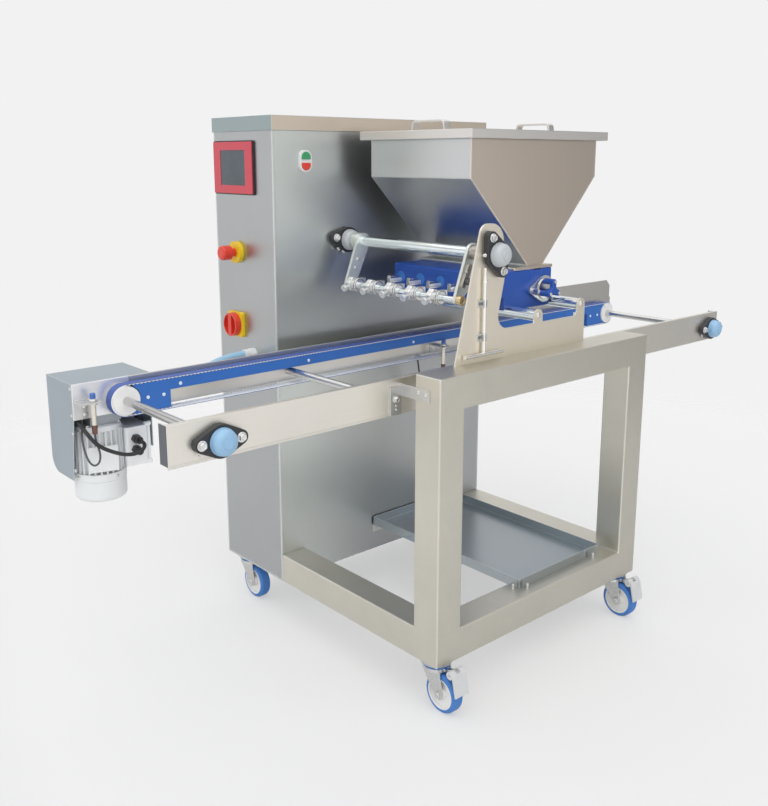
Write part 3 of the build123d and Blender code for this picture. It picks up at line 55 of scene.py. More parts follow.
scene.view_settings.view_transform = "Standard"

# %% [markdown]
# ## Camera
# The picture was taken from the left front, a little above the belts and looking slightly down.
# A camera could be aimed with a constraint. Here its place and turn are written out, because
# they were fitted to the picture, and the small shift is the crop.

# %% Camera at the picture's place
def add_object(name, data):
    """A new object in the scene, at the origin."""
    added = bpy.data.objects.new(name, data)
    scene.collection.objects.link(added)
    return added


camera_data = bpy.data.cameras.new("camera")
camera_data.sensor_width = 36
camera_data.lens = 40.95
camera_data.shift_x = 0.0014
camera_data.shift_y = -0.058
camera = add_object("camera", camera_data)
camera.location = (-1.807, -1.8175, 1.308)
camera.rotation_euler = (math.radians(90 - 12.156), 0, math.radians(-41.411))
scene.camera = camera
print("camera", tuple(round(v, 2) for v in camera.location))

# %% [markdown]
# ## Cables and hose
# A cable is a fixed length of something that bends, so each one is a smooth curve whose control
# points follow the route of the solid. A mesh tube would need its own rings of points; a curve
# with a round bevel keeps the line smooth and is easy to change. The bevel is one metre, and the
# radius of each point scales it down, so that the box round the curve stays as thin as the cable.

# %% Helper for a cord along a route
def cord_curve(name, route, radius):
    data = bpy.data.curves.new(name, "CURVE")
    data.dimensions = "3D"
    data.bevel_depth = 1.0
    data.bevel_resolution = 5
    data.resolution_u = 10
    data.use_fill_caps = True
    spline = data.splines.new("NURBS")
    spline.points.add(len(route) - 1)
    for point, place in zip(spline.points, route):
        point.co = (*place, 1)
        point.radius = radius
    spline.order_u = 3
    spline.use_endpoint_u = True
    return add_object(name, data)


def offsets(start, steps):
    return [tuple(s + d / 1000 for s, d in zip(start, step)) for step in steps]


# %% The four cords
gland = (-0.874, 0.0995, 0.664)
motor_lead = cord_curve(
    "motor_lead",
    offsets(gland, [
        (0, 0, 0), (0, -24, 0), (-8, -38, -8), (-26, -40, -16), (-48, -32, -17), (-70, -24, -10),
        (-95, -16, 3), (-112, -8, 18), (-124, 2, 38), (-129, 16, 52), (-132, 40, 65),
        (-128, 78, 105), (-102, 136, 123), (-40, 146, 121), (12, 138, 103), (48, 138, 103),
    ]),
    0.0045,
)
hose_gland = (-0.452, 0.3025, 0.779)
conduit = cord_curve(
    "conduit",
    [
        hose_gland, (-0.512, 0.3025, 0.779), (-0.617, 0.2745, 0.757),
        (-0.728, 0.2375, 0.767), (-0.788, 0.2375, 0.767),
    ],
    0.009,
)
plug_1 = (-0.980, 0.1025, 0.701)
sensor_lead_1 = cord_curve(
    "sensor_lead_1",
    offsets(plug_1, [
        (0, 0, 0), (0, 0, -18), (5, -4, -36), (7, -6, -54), (1, -8, -70), (-12, -7, -73),
        (-22, -3, -58), (-26, 5, -34), (-25, 16, -8), (-14, 35, 14), (-14, 35, 51),
    ]),
    0.0023,
)
plug_2 = (0.111, 0.0825, 0.684)
sensor_lead_2 = cord_curve(
    "sensor_lead_2",
    offsets(plug_2, [
        (0, 0, 0), (0, 0, -26), (-10, 12, -52), (-32, 29, -57), (-53, 42, -36),
        (-57, 44, -8), (-62, 47, 37),
    ]),
    0.0023,
)
for piece, node, slot_name, start, length, thickness, stiffness in (
    (motor_lead, "motor_cable", "black_rubber", gland, 0.501, 0.009, "medium"),
    (conduit, "conduit_hose", "hose_blue", hose_gland, 0.347, 0.018, "stiff"),
    (sensor_lead_1, "sensor_cables", "black_rubber", plug_1, 0.221, 0.0046, "limp"),
    (sensor_lead_2, None, "black_rubber", plug_2, 0.189, 0.0046, "limp"),
):
    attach(piece, "machine")
    if node:
        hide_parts(node)
print("cords", motor_lead.name, conduit.name, sensor_lead_1.name, sensor_lead_2.name)

# %% [markdown]
# ## Light and floor
# Sheet steel shows mostly what stands round it, so the light of the room matters more than
# lamps. A tent of neutral grey boards stands far out round the machine: light on the left and at
# the back, white in front, dark on the right, with a dim gap below the bright ceiling. Round bars
# mirror that gap as a dark line beside a bright one. Behind the machine, as the camera sees it,
# the tent is open and the plain pale backdrop shows. Every view shows the boards, so the steel
# mirrors nothing that isn't there. Lamps alone would leave the steel dark and flat.

# %% Helpers for node trees
def link(tree, out, into):
    tree.links.new(out, into)


def add_node(tree, kind, values=None, **settings):
    """A new shader node; values go on its inputs, settings are its own, such as operation."""
    node = tree.nodes.new("ShaderNode" + kind)
    for label, setting in settings.items():
        setattr(node, label, setting)
    for label, value in (values or {}).items():
        node.inputs[label].default_value = value
    return node


def maths(tree, operation, first, second=None):
    node = add_node(tree, "Math", operation=operation)
    for slot_number, value in enumerate((first, second)):
        if value is None:
            continue
        if isinstance(value, (int, float)):
            node.inputs[slot_number].default_value = value
        else:
            link(tree, value, node.inputs[slot_number])
    return node.outputs[0]


def along(tree, place, axis):
    """One coordinate of a place."""
    split = add_node(tree, "SeparateXYZ")
    link(tree, place, split.inputs[0])
    return split.outputs[axis]


def tone_ramp(tree, value, stops):
    """A ramp of greys; stops are (place from 0 to 1, tone)."""
    node = add_node(tree, "ValToRGB")
    ramp = node.color_ramp
    for stop, tone in stops:
        if stop in (0, 1):
            element = ramp.elements[stop * (len(ramp.elements) - 1)]
        else:
            element = ramp.elements.new(stop)
        element.color = (tone, tone, tone, 1)
    link(tree, value, node.inputs[0])
    return node.outputs[0]


def mixed(tree, factor, first, second):
    """A blend of two colours: inputs 6 and 7 and output 2 of a Mix node are its colours."""
    node = add_node(tree, "Mix", data_type="RGBA")
    for number, value in ((0, factor), (6, first), (7, second)):
        if isinstance(value, tuple):
            node.inputs[number].default_value = (*value, 1)
        else:
            link(tree, value, node.inputs[number])
    return node.outputs[2]


# %% A plain pale backdrop
pale = 0.888
world = bpy.data.worlds.new("backdrop")
scene.world = world
world.use_nodes = True
world.node_tree.nodes["Background"].inputs["Color"].default_value = (pale, pale, pale, 1)
world.node_tree.nodes["Background"].inputs["Strength"].default_value = 1.0
print("backdrop at", pale)

# %% Boards of the tent
board_light = bpy.data.materials.new("board_light")
board_light.use_nodes = True
board_light.cycles.emission_sampling = "NONE"  # a backdrop, not a lamp
tree = board_light.node_tree
tree.nodes.clear()
outward = add_node(tree, "VectorMath", operation="NORMALIZE")
look = add_node(tree, "SeparateXYZ")
link(tree, add_node(tree, "TexCoord").outputs["Object"], outward.inputs[0])
link(tree, outward.outputs[0], look.inputs[0])
turn = maths(tree, "ARCTAN2", look.outputs["X"], maths(tree, "MULTIPLY", look.outputs["Y"], -1.0))
round_room = maths(tree, "ADD", maths(tree, "MULTIPLY", turn, 0.5 / math.pi), 0.5)
walls = tone_ramp(tree, round_room, [
    (0, 0.86), (0.05, 0.90), (0.09, 0.92), (0.12, 0.91), (0.26, 0.92), (0.36, 1.0),
    (0.57, 1.0), (0.605, 0.96), (0.635, 0.52), (0.66, 0.30), (0.73, 0.30),
    (0.79, pale), (0.95, pale), (1, 0.86),
])
ground = tone_ramp(tree, round_room, [
    (0, 0.65), (0.05, 0.58), (0.12, 0.62), (0.26, 0.84), (0.36, 0.95), (0.57, 0.98),
    (0.59, 0.93), (0.615, 0.49), (0.64, 0.20), (0.66, 0.18), (0.73, 0.18),
    (0.79, pale), (0.95, pale), (1, 0.65),
])
below = add_node(tree, "MapRange", {"From Min": -0.10, "From Max": -0.36})
link(tree, look.outputs["Z"], below.inputs["Value"])
around = mixed(tree, below.outputs[0], walls, ground)
rise = maths(tree, "ADD", maths(tree, "MULTIPLY", look.outputs["Z"], 0.5), 0.5)
level = tone_ramp(tree, rise, [
    (0, 0.5), (0.600, 0.5), (0.640, 0.29), (0.730, 0.27), (0.790, 0.74), (1, 0.74),
])
glow = add_node(tree, "Emission")
board_out = add_node(tree, "OutputMaterial")
link(tree, around, glow.inputs["Color"])
link(tree, maths(tree, "MULTIPLY", level, 2.0), glow.inputs["Strength"])
link(tree, glow.outputs[0], board_out.inputs[0])
print("boards", board_light.name)

# %% The tent, open behind the machine
def mesh_from(name, shape):
    """A mesh of a bmesh, which is then let go."""
    mesh = bpy.data.meshes.new(name)
    shape.to_mesh(mesh)
    shape.free()
    return mesh


tent_radius = 60
opening_start, opening_end, opening_top = 0.80, 0.94, 0.18
shape = bmesh.new()
bmesh.ops.create_uvsphere(shape, u_segments=120, v_segments=60, radius=tent_radius)


def behind_machine(face):
    middle = face.calc_center_median().normalized()
    around_room = 0.5 + 0.5 * math.atan2(middle.x, -middle.y) / math.pi
    return opening_start < around_room < opening_end and middle.z < opening_top


opening = [face for face in shape.faces if behind_machine(face)]
bmesh.ops.delete(shape, geom=opening, context="FACES")
tent_mesh = mesh_from("tent", shape)
tent_mesh.materials.append(board_light)
tent = add_object("tent", tent_mesh)
tent.visible_shadow = False  # the key lamp stands outside the tent
print("tent boards", len(tent_mesh.polygons), "left open", len(opening))

# %% Soft key lamp
key_data = bpy.data.lights.new("key", "SUN")
key_data.energy = 0.5
key_data.angle = math.radians(50)
key = add_object("key", key_data)
key.rotation_euler = Vector((0.45, 0.55, -1.0)).to_track_quat("-Z", "Y").to_euler()
print("key", key_data.energy)

# %% Floor that fades into the backdrop and the boards
floor_radius, fade_start, fade_end = 9, 1.3, 3.6
floor_tone, seen_through = 0.762, 0.5
shape = bmesh.new()
bmesh.ops.create_circle(shape, cap_ends=True, segments=96, radius=floor_radius)
floor_mesh = mesh_from("floor", shape)
floor = add_object("floor", floor_mesh)
floor_paint = bpy.data.materials.new("floor_paint")
floor_paint.use_nodes = True
tree = floor_paint.node_tree
tree.nodes.clear()
reach = add_node(tree, "VectorMath", operation="LENGTH")
fade = add_node(tree, "MapRange", {"From Min": fade_start, "From Max": fade_end},
                interpolation_type="SMOOTHSTEP")
matt = add_node(tree, "BsdfDiffuse", {"Color": (floor_tone, floor_tone, floor_tone, 1)})
clear = add_node(tree, "BsdfTransparent")
blend = add_node(tree, "MixShader")
floor_out = add_node(tree, "OutputMaterial")
link(tree, add_node(tree, "TexCoord").outputs["Object"], reach.inputs[0])
link(tree, reach.outputs["Value"], fade.inputs["Value"])
ray = add_node(tree, "LightPath")
mirrored = maths(tree, "MAXIMUM", ray.outputs["Is Glossy Ray"], ray.outputs["Is Transmission Ray"])
seen = maths(tree, "MAXIMUM", ray.outputs["Is Camera Ray"], mirrored)
link(tree, maths(tree, "MAXIMUM", fade.outputs[0], maths(tree, "MULTIPLY", seen, seen_through)),
     blend.inputs[0])
link(tree, matt.outputs[0], blend.inputs[1])
link(tree, clear.outputs[0], blend.inputs[2])
link(tree, blend.outputs[0], floor_out.inputs[0])
floor_mesh.materials.append(floor_paint)
print("floor", floor.name)

# %% [markdown]
# ## Shared effects
# Brushing, blotches and bright edges turn up on many finishes. Each is a node group with named
# inputs, made once and placed with its own values, so that all the steel is brushed in the same
# way and a change in one place shows everywhere.

# %% Helper for a node group
def effect(name, inputs, outputs):
    group = bpy.data.node_groups.new(name, "ShaderNodeTree")
    for label, kind in inputs:
        group.interface.new_socket(label, in_out="INPUT", socket_type=kind)
    for label, kind in outputs:
        group.interface.new_socket(label, in_out="OUTPUT", socket_type=kind)
    return group, group.nodes.new("NodeGroupInput"), group.nodes.new("NodeGroupOutput")


def shaded(group, pattern, depth):
    """A shade round 1 that follows a pattern."""
    swing = maths(group, "MULTIPLY", maths(group, "SUBTRACT", pattern, 0.5), depth)
    return maths(group, "ADD", swing, 1.0)


# %% Brushed lines
brushing, given, result = effect(
    "brushed_lines",
    [("Place", "NodeSocketVector"), ("Stretch", "NodeSocketVector"), ("Depth", "NodeSocketFloat")],
    [("Shade", "NodeSocketFloat"), ("Height", "NodeSocketFloat")],
)
stretched = add_node(brushing, "VectorMath", operation="MULTIPLY")
hairs = add_node(brushing, "TexNoise", {"Scale": 6, "Detail": 4, "Roughness": 0.7})
link(brushing, given.outputs["Place"], stretched.inputs[0])
link(brushing, given.outputs["Stretch"], stretched.inputs[1])
link(brushing, stretched.outputs[0], hairs.inputs["Vector"])
link(brushing, shaded(brushing, hairs.outputs[0], given.outputs["Depth"]), result.inputs["Shade"])
link(brushing, hairs.outputs[0], result.inputs["Height"])
print("effect", brushing.name)

# %% Blotches of handling and cleaning
blotching, given, result = effect(
    "blotches",
    [("Place", "NodeSocketVector"), ("Scale", "NodeSocketFloat"), ("Depth", "NodeSocketFloat")],
    [("Shade", "NodeSocketFloat")],
)
clouds = add_node(blotching, "TexNoise", {"Detail": 3, "Distortion": 0.6})
link(blotching, given.outputs["Place"], clouds.inputs["Vector"])
link(blotching, given.outputs["Scale"], clouds.inputs["Scale"])
link(blotching, shaded(blotching, clouds.outputs[0], given.outputs["Depth"]),
     result.inputs["Shade"])
print("effect", blotching.name)

# %% Edges brighter by wear and a painted highlight
edging, given, result = effect(
    "edge_wear_and_highlight",
    [("Width", "NodeSocketFloat"), ("Amount", "NodeSocketFloat")],
    [("Edge", "NodeSocketFloat"), ("Rounding", "NodeSocketVector")],
)
rounded = add_node(edging, "Bevel", samples=6)
flat = add_node(edging, "NewGeometry")
likeness = add_node(edging, "VectorMath", operation="DOT_PRODUCT")
link(edging, given.outputs["Width"], rounded.inputs["Radius"])
link(edging, rounded.outputs[0], likeness.inputs[0])
link(edging, flat.outputs["Normal"], likeness.inputs[1])
turn_off = maths(edging, "SUBTRACT", 1.0, likeness.outputs["Value"])
raised = maths(edging, "MINIMUM", maths(edging, "MULTIPLY", turn_off, 6.0), 1.0)
# The edge mask lightens the base colour: partly wear, partly a painted highlight along the edges.
link(edging, maths(edging, "MULTIPLY", raised, given.outputs["Amount"]), result.inputs["Edge"])
link(edging, rounded.outputs[0], result.inputs["Rounding"])
print("effect", edging.name)

# %% [markdown]
# ## Finishes
# One recipe makes every finish: a tone, shaded by brushing and blotches, with brighter rounded
# edges and a fine bump. A finish per piece by hand would drift apart; a recipe keeps the steel a
# family. A second tone can take over where a mask says so, such as the white hub of a blue tyre.

# %% The recipe
def scaled(tree, colour, factor):
    node = add_node(tree, "VectorMath", operation="SCALE")
    link(tree, colour, node.inputs[0])
    link(tree, factor, node.inputs["Scale"])
    return node.outputs[0]


def brighter(tone, gain, lift):
    return tuple(min(1.0, gain * part + lift) for part in tone)


made = []


def finish(name, tone, rough, metal, stretch, lines, blotch, edge, bump, relief=0.0002, coat=0.0,
           second=None, on=()):
    """A finish for the nodes named in on. stretch is one number for an even grain, blotch is
    (scale, depth), edge is (width, amount, tone), relief is the height of the bump in metres,
    and second is (mask, tone, roughness, metal) for a part of the piece."""
    if isinstance(stretch, int):
        stretch = (stretch, stretch, stretch)
    material = bpy.data.materials.new(name)
    material.use_nodes = True
    tree = material.node_tree
    shader = tree.nodes["Principled BSDF"]
    place = add_node(tree, "TexCoord").outputs["Object"]
    brushed = add_node(tree, "Group", {"Stretch": stretch, "Depth": lines}, node_tree=brushing)
    blotched = add_node(tree, "Group", {"Scale": blotch[0], "Depth": blotch[1]},
                        node_tree=blotching)
    wear_and_highlight = add_node(tree, "Group", {"Width": edge[0], "Amount": edge[1]}, node_tree=edging)
    link(tree, place, brushed.inputs["Place"])
    link(tree, place, blotched.inputs["Place"])
    bright = edge[2] or brighter(tone, 1.35, 0.03)
    shade = maths(tree, "MULTIPLY", brushed.outputs["Shade"], blotched.outputs["Shade"])
    plain, base_rough = tone, rough
    shader.inputs["Metallic"].default_value = metal
    if second:
        mask = second[0](tree, place)
        plain = mixed(tree, mask, tone, second[1])
        bright = mixed(tree, mask, bright, brighter(second[1], 1.3, 0.02))
        base_rough = maths(tree, "ADD", rough, maths(tree, "MULTIPLY", mask, second[2] - rough))
        if second[3] != metal:
            link(tree, maths(tree, "ADD", metal, maths(tree, "MULTIPLY", mask, second[3] - metal)),
                 shader.inputs["Metallic"])
    # Edges take a lighter tone: partly wear, partly a painted highlight.
    colour = mixed(tree, wear_and_highlight.outputs["Edge"], plain, bright)
    link(tree, scaled(tree, colour, shade), shader.inputs["Base Color"])
    uneven = maths(tree, "MULTIPLY", maths(tree, "SUBTRACT", shade, 1.0), -0.6)
    link(tree, maths(tree, "ADD", base_rough, uneven), shader.inputs["Roughness"])
    if coat:
        shader.inputs["Coat Weight"].default_value = coat
        shader.inputs["Coat Roughness"].default_value = 0.12
    skin = add_node(tree, "Bump", {"Strength": bump, "Distance": relief})
    link(tree, brushed.outputs["Height"], skin.inputs["Height"])
    link(tree, wear_and_highlight.outputs["Rounding"], skin.inputs["Normal"])
    link(tree, skin.outputs[0], shader.inputs["Normal"])
    for node_name in on:
        slots = nodes[node_name].data.materials
        slots.clear()
        slots.append(material)
    made.append(name)
    return material


def tell(kind):
    print(kind, "finishes:", ", ".join(made))
    made.clear()


# %% Masks for pieces of two tones
def apart(tree, place, centre, axes):
    """Distance from a centre line, counted along the given axes only."""
    offset = add_node(tree, "VectorMath", {1: centre}, operation="SUBTRACT")
    keep = add_node(tree, "VectorMath", {1: axes}, operation="MULTIPLY")
    size = add_node(tree, "VectorMath", operation="LENGTH")
    link(tree, place, offset.inputs[0])
    link(tree, offset.outputs[0], keep.inputs[0])
    link(tree, keep.outputs[0], size.inputs[0])
    return size.outputs["Value"]


def inside(centre, axes, limit):
    return lambda tree, place: maths(tree, "LESS_THAN", apart(tree, place, centre, axes), limit)


def between(centre, axes, near, far):
    def mask(tree, place):
        away = apart(tree, place, centre, axes)
        return maths(tree, "MULTIPLY", maths(tree, "GREATER_THAN", away, near),
                     maths(tree, "LESS_THAN", away, far))
    return mask


def beyond(axis, limit, low=False):
    side = "LESS_THAN" if low else "GREATER_THAN"
    return lambda tree, place: maths(tree, side, along(tree, place, axis), limit)


# %% [markdown]
# ## Steel
# Most of the machine is stainless sheet. The cabinet and the hopper are smooth and mirror the
# room, the frame and the beam are ground more coarsely and look lighter. The brushing runs along
# the length of each piece, as it leaves the mill, and folded corners catch the light. Some
# pieces have a second tone on one side or end, set to follow the picture: painted light, shade
# and reflections. The warm tint of several steel tones is partly the steel's own and partly a
# painted reflection of the room.

# %% Sheet steel
upright = (220, 220, 6)
lengthwise = (5, 160, 160)


def painted_light_near_corner(tree, place):
    """Painted highlight: front and back get brighter towards the left corner, as the picture shows
    in front.
    """
    corner_x = -0.4155
    across = along(tree, place, "X")
    sweep = add_node(tree, "MapRange", {"From Min": 0.0, "From Max": -0.40},
                     interpolation_type="SMOOTHSTEP")
    link(tree, across, sweep.inputs["Value"])
    return maths(tree, "MULTIPLY", sweep.outputs[0],
                 maths(tree, "GREATER_THAN", across, corner_x))


# The cabinet is painted brighter towards its left corner: a painted highlight.
finish(
    "cabinet_steel", (0.49, 0.505, 0.51), 0.34, 1.0, upright, 0.14, (2.5, 0.18),
    edge=(0.008, 1.0, (0.95, 0.96, 0.96)), bump=0.04,
    second=(painted_light_near_corner, (0.67, 0.70, 0.675), 0.36, 1.0), on=["cabinet_body"],
)
# The cap's warm tone is partly the steel's own and partly a painted reflection of the room; its
# left side is painted cooler and darker, a painted reflection of the cool left side.
finish(
    "cap_steel", (0.70, 0.615, 0.51), 0.36, 1.0, lengthwise, 0.12, (4, 0.14),
    edge=(0.004, 0.8, (0.90, 0.89, 0.87)), bump=0.04,
    second=(beyond("X", -0.4185, low=True), (0.38, 0.45, 0.46), 0.36, 1.0), on=["cabinet_cap"],
)
finish(
    "tray_steel", (0.50, 0.55, 0.585), 0.24, 1.0, (160, 5, 160), 0.12, (5, 0.18),
    edge=(0.0015, 0.7, (0.88, 0.88, 0.87)), bump=0.03, on=["drip_tray"],
)
bracket_steel = finish(
    "bracket_steel", (0.66, 0.66, 0.65), 0.36, 1.0, 90, 0.12, (14, 0.16),
    edge=(0.0012, 0.8, (0.93, 0.93, 0.92)), bump=0.05, on=["steel_brackets"],
)
# The beam's left end face is painted dark, a painted dark reflection on that end; the beam's warm
# tone is partly the steel's own and partly a painted reflection of the room.
beam_steel = finish(
    "beam_steel", (0.84, 0.81, 0.75), 0.40, 1.0, lengthwise, 0.10, (3, 0.12),
    edge=(0.003, 0.6, (0.93, 0.92, 0.90)), bump=0.05,
    second=(beyond("X", -1.0155, low=True), (0.15, 0.16, 0.175), 0.45, 0.6), on=["front_beam"],
)
# The rail's left end is painted bright and the rest a darker warm grey: a painted highlight on the
# left end.
finish(
    "rail_steel", (0.95, 0.95, 0.95), 0.42, 1.0, lengthwise, 0.10, (4, 0.14),
    edge=(0.002, 0.6, (0.95, 0.94, 0.93)), bump=0.04,
    second=(beyond("X", -0.880), (0.72, 0.70, 0.66), 0.32, 1.0), on=["rail_plate"],
)
# The hopper's front wall is painted warmer than its other walls: a painted reflection of the warm
# room.
finish(
    "hopper_steel", (0.68, 0.695, 0.70), 0.31, 1.0, upright, 0.035, (3, 0.10),
    edge=(0.006, 1.0, (0.97, 0.97, 0.95)), bump=0.012, relief=0.0001,
    second=(beyond("Y", -0.2468, low=True), (0.675, 0.59, 0.51), 0.29, 1.0), on=["hopper"],
)
# The lid's warm tone is partly the steel's own and partly a painted reflection of the room.
finish(
    "lid_steel", (0.795, 0.77, 0.745), 0.34, 1.0, lengthwise, 0.10, (4, 0.12),
    edge=(0.003, 0.7, (0.90, 0.89, 0.88)), bump=0.04, on=["hopper_lid"],
)
# The side plate's warm tone is partly the steel's own and partly a painted reflection of the room.
finish(
    "plate_steel", (0.905, 0.84, 0.725), 0.42, 1.0, (60, 60, 120), 0.10, (7, 0.14),
    edge=(0.002, 0.9, (0.97, 0.96, 0.95)), bump=0.05, on=["side_plate"],
)
# The front arm, and the collar on it, are painted darker and warmer: painted shade with a warm
# painted reflection.
arm_steel = finish(
    "arm_steel", (0.86, 0.90, 0.86), 0.44, 1.0, (60, 60, 120), 0.12, (14, 0.18),
    edge=(0.0015, 0.9, (0.94, 0.94, 0.94)), bump=0.05,
    second=(beyond("Y", -0.2975, low=True), (0.50, 0.46, 0.405), 0.34, 1.0), on=["rocker_arms"],
)
tell("sheet")

# %% Turned and polished pieces
finish(
    "polished_steel", (0.86, 0.92, 0.94), 0.15, 1.0, (40, 400, 40), 0.16, (20, 0.16),
    edge=(0.001, 0.4, (0.92, 0.92, 0.91)), bump=0.04, relief=0.0001,
    on=["support_rods", "rocker_shaft"],
)
bright_steel = finish(
    "bright_steel", (0.76, 0.76, 0.755), 0.24, 1.0, 300, 0.14, (60, 0.20),
    edge=(0.0008, 0.7, (0.96, 0.96, 0.95)), bump=0.08, relief=0.0001,
    on=["pump_fittings", "valve_rotor"],
)
finish(
    "tool_steel", (0.95, 0.94, 0.91), 0.22, 1.0, (300, 300, 12), 0.10, (20, 0.12),
    edge=(0.001, 0.4, (0.95, 0.94, 0.92)), bump=0.05, relief=0.0001, on=["extraction_tool"],
)
clamp_steel = finish(
    "clamp_steel", (0.82, 0.825, 0.82), 0.29, 0.80, 200, 0.14, (40, 0.22),
    edge=(0.001, 0.8, (0.94, 0.945, 0.95)), bump=0.06, relief=0.0001,
    second=(beyond("Y", -0.2970, low=True), (0.74, 0.58, 0.34), 0.26, 1.0), on=["rod_clamps"],
)
finish(
    "bar_steel", (0.72, 0.72, 0.71), 0.26, 1.0, (40, 400, 40), 0.16, (20, 0.16),
    edge=(0.001, 0.4, (0.9, 0.9, 0.9)), bump=0.04, relief=0.0001, on=["cross_bars"],
)
tell("turned")

# %% [markdown]
# ## Blue plastics and belts
# The pump block and its knob are cut from deep blue plastic for food machines. The guide strips
# and the tyres are a lighter blue, and the belts show a darker back. Plastic of this kind has a
# faint machined grain and a soft gloss, so the bump is fine; the edges are painted a little
# lighter, partly as wear and partly as a painted highlight.

# %% Plastics of the pump and the conveyor
finish(
    "deep_blue", (0.012, 0.078, 0.400), 0.34, 0.0, 120, 0.10, (9, 0.22),
    edge=(0.004, 0.5, (0.08, 0.18, 0.66)), bump=0.10, on=["pump_block", "valve_knob"],
)
finish(
    "band_blue", (0.028, 0.150, 0.520), 0.40, 0.0, lengthwise, 0.10, (8, 0.16),
    edge=(0.002, 0.4, (0.10, 0.30, 0.72)), bump=0.10, on=["guide_strips"],
)
finish(
    "belt_blue", (0.060, 0.115, 0.390), 0.55, 0.0, (300, 40, 300), 0.16, (14, 0.18),
    edge=(0.001, 0.3, (0.12, 0.22, 0.58)), bump=0.25, relief=0.0003, on=["belts"],
)
finish(
    "tooth_white", (0.90, 0.91, 0.92), 0.55, 0.0, (200, 60, 200), 0.10, (25, 0.16),
    edge=(0.0006, 0.3, (0.92, 0.92, 0.92)), bump=0.2, on=["belt_teeth"],
)
drive_x, idler_x, shaft_z = -904, 951, 766
for name, shaft_x in (("drive_shaft", drive_x), ("idler_shaft", idler_x)):
    centre = (shaft_x / 1000, 0, shaft_z / 1000)
    finish(
        name + "_white", (0.86, 0.86, 0.85), 0.40, 0.0, 90, 0.06, (20, 0.10),
        edge=(0.001, 0.4, (0.93, 0.93, 0.92)), bump=0.1,
        second=(inside(centre, (1, 0, 1), 0.0102), (0.62, 0.62, 0.61), 0.20, 1.0), on=[name],
    )
finish(
    "piston_blue", (0.020, 0.190, 0.640), 0.30, 0.0, 150, 0.08, (20, 0.14),
    edge=(0.0015, 0.7, (0.20, 0.44, 0.86)), bump=0.08,
    second=(beyond("X", -0.0716, low=True), (0.76, 0.76, 0.75), 0.18, 1.0), on=["pistons"],
)
tell("blue")

# %% [markdown]
# ## Castings, drive and controls
# Black cast housings with plastic caps carry the shafts. The motor is painted light grey and the
# hood is a satin blue-grey. Small controls keep their signal colours: red, yellow, green, white.
# The casters have steel forks and blue tyres on white hubs; a mask round the axle parts the two.

# %% Castings and caps
finish(
    "cast_black", (0.030, 0.031, 0.034), 0.48, 0.0, 150, 0.25, (30, 0.30),
    edge=(0.002, 0.5, (0.13, 0.13, 0.14)), bump=0.35, relief=0.0005, on=["bearing_housings"],
)
cap_grey = finish(
    "cap_grey", (0.50, 0.535, 0.555), 0.34, 0.0, 60, 0.05, (18, 0.10),
    edge=(0.0015, 0.4, (0.72, 0.74, 0.75)), bump=0.06, on=["rocker_bearing_caps"],
)
cap_blue = finish(
    "cap_blue", (0.295, 0.500, 0.720), 0.34, 0.0, 60, 0.05, (18, 0.12),
    edge=(0.0015, 0.4, (0.42, 0.62, 0.88)), bump=0.06, on=["conveyor_bearing_caps"],
)
tell("casting")

# %% Drive
finish(
    "hood_paint", (0.41, 0.47, 0.515), 0.42, 0.75, 180, 0.08, (5, 0.12),
    edge=(0.003, 0.8, (0.80, 0.83, 0.85)), bump=0.1, on=["hood"],
)
# The terminal box is painted lighter than the rest of the motor: a painted highlight of the light
# it catches.
motor_grey = finish(
    "motor_grey", (0.79, 0.81, 0.825), 0.44, 0.0, 120, 0.08, (16, 0.14),
    edge=(0.0012, 0.5, (0.88, 0.89, 0.90)), bump=0.2, relief=0.0003,
    second=(beyond("X", -0.897), (0.90, 0.92, 0.935), 0.42, 0.0), on=["motor"],
)
fan_white = finish(
    "fan_white", (0.78, 0.80, 0.81), 0.40, 0.0, 120, 0.06, (10, 0.08),
    edge=(0.002, 0.4, (0.90, 0.91, 0.92)), bump=0.12, on=["fan_cover"],
)
finish(
    "gear_grey", (0.46, 0.49, 0.51), 0.5, 0.3, 120, 0.14, (20, 0.2),
    edge=(0.0025, 0.35, None), bump=0.3, relief=0.0004, on=["gearbox"],
)
plate_pale = finish(
    "plate_pale", (0.84, 0.86, 0.86), 0.32, 0.1, 200, 0.06, (30, 0.12),
    edge=(0.0006, 0.5, (0.92, 0.93, 0.93)), bump=0.05, relief=0.0001,
)
tell("drive")

# %% Cables, glands and sensors
cable_black = finish(
    "cable_black", (0.022, 0.022, 0.024), 0.5, 0.0, 150, 0.2, (40, 0.3),
    edge=(0.0005, 0.1, None), bump=0.2,
)
lead_grey = finish(
    "lead_grey", (0.085, 0.09, 0.10), 0.5, 0.0, 150, 0.2, (40, 0.3),
    edge=(0.0005, 0.1, None), bump=0.2,
)
hose_blue = finish(
    "hose_blue", (0.33, 0.56, 0.76), 0.4, 0.0, 150, 0.1, (30, 0.15),
    edge=(0.0005, 0.1, None), bump=0.2,
)
finish(
    "gland_black", (0.020, 0.020, 0.022), 0.42, 0.0, 150, 0.15, (40, 0.25),
    edge=(0.001, 0.4, (0.09, 0.09, 0.10)), bump=0.15,
    second=(beyond("X", -0.845), (0.78, 0.80, 0.81), 0.4, 0.0), on=["cable_glands"],
)


def plug_end(tree, place):
    """The moulded plug below each sensor: the left one hangs higher than the right one."""
    leftmost = maths(tree, "LESS_THAN", along(tree, place, "X"), -0.5)
    top = maths(tree, "ADD", maths(tree, "MULTIPLY", leftmost, 0.017), 0.705)
    return maths(tree, "LESS_THAN", along(tree, place, "Z"), top)


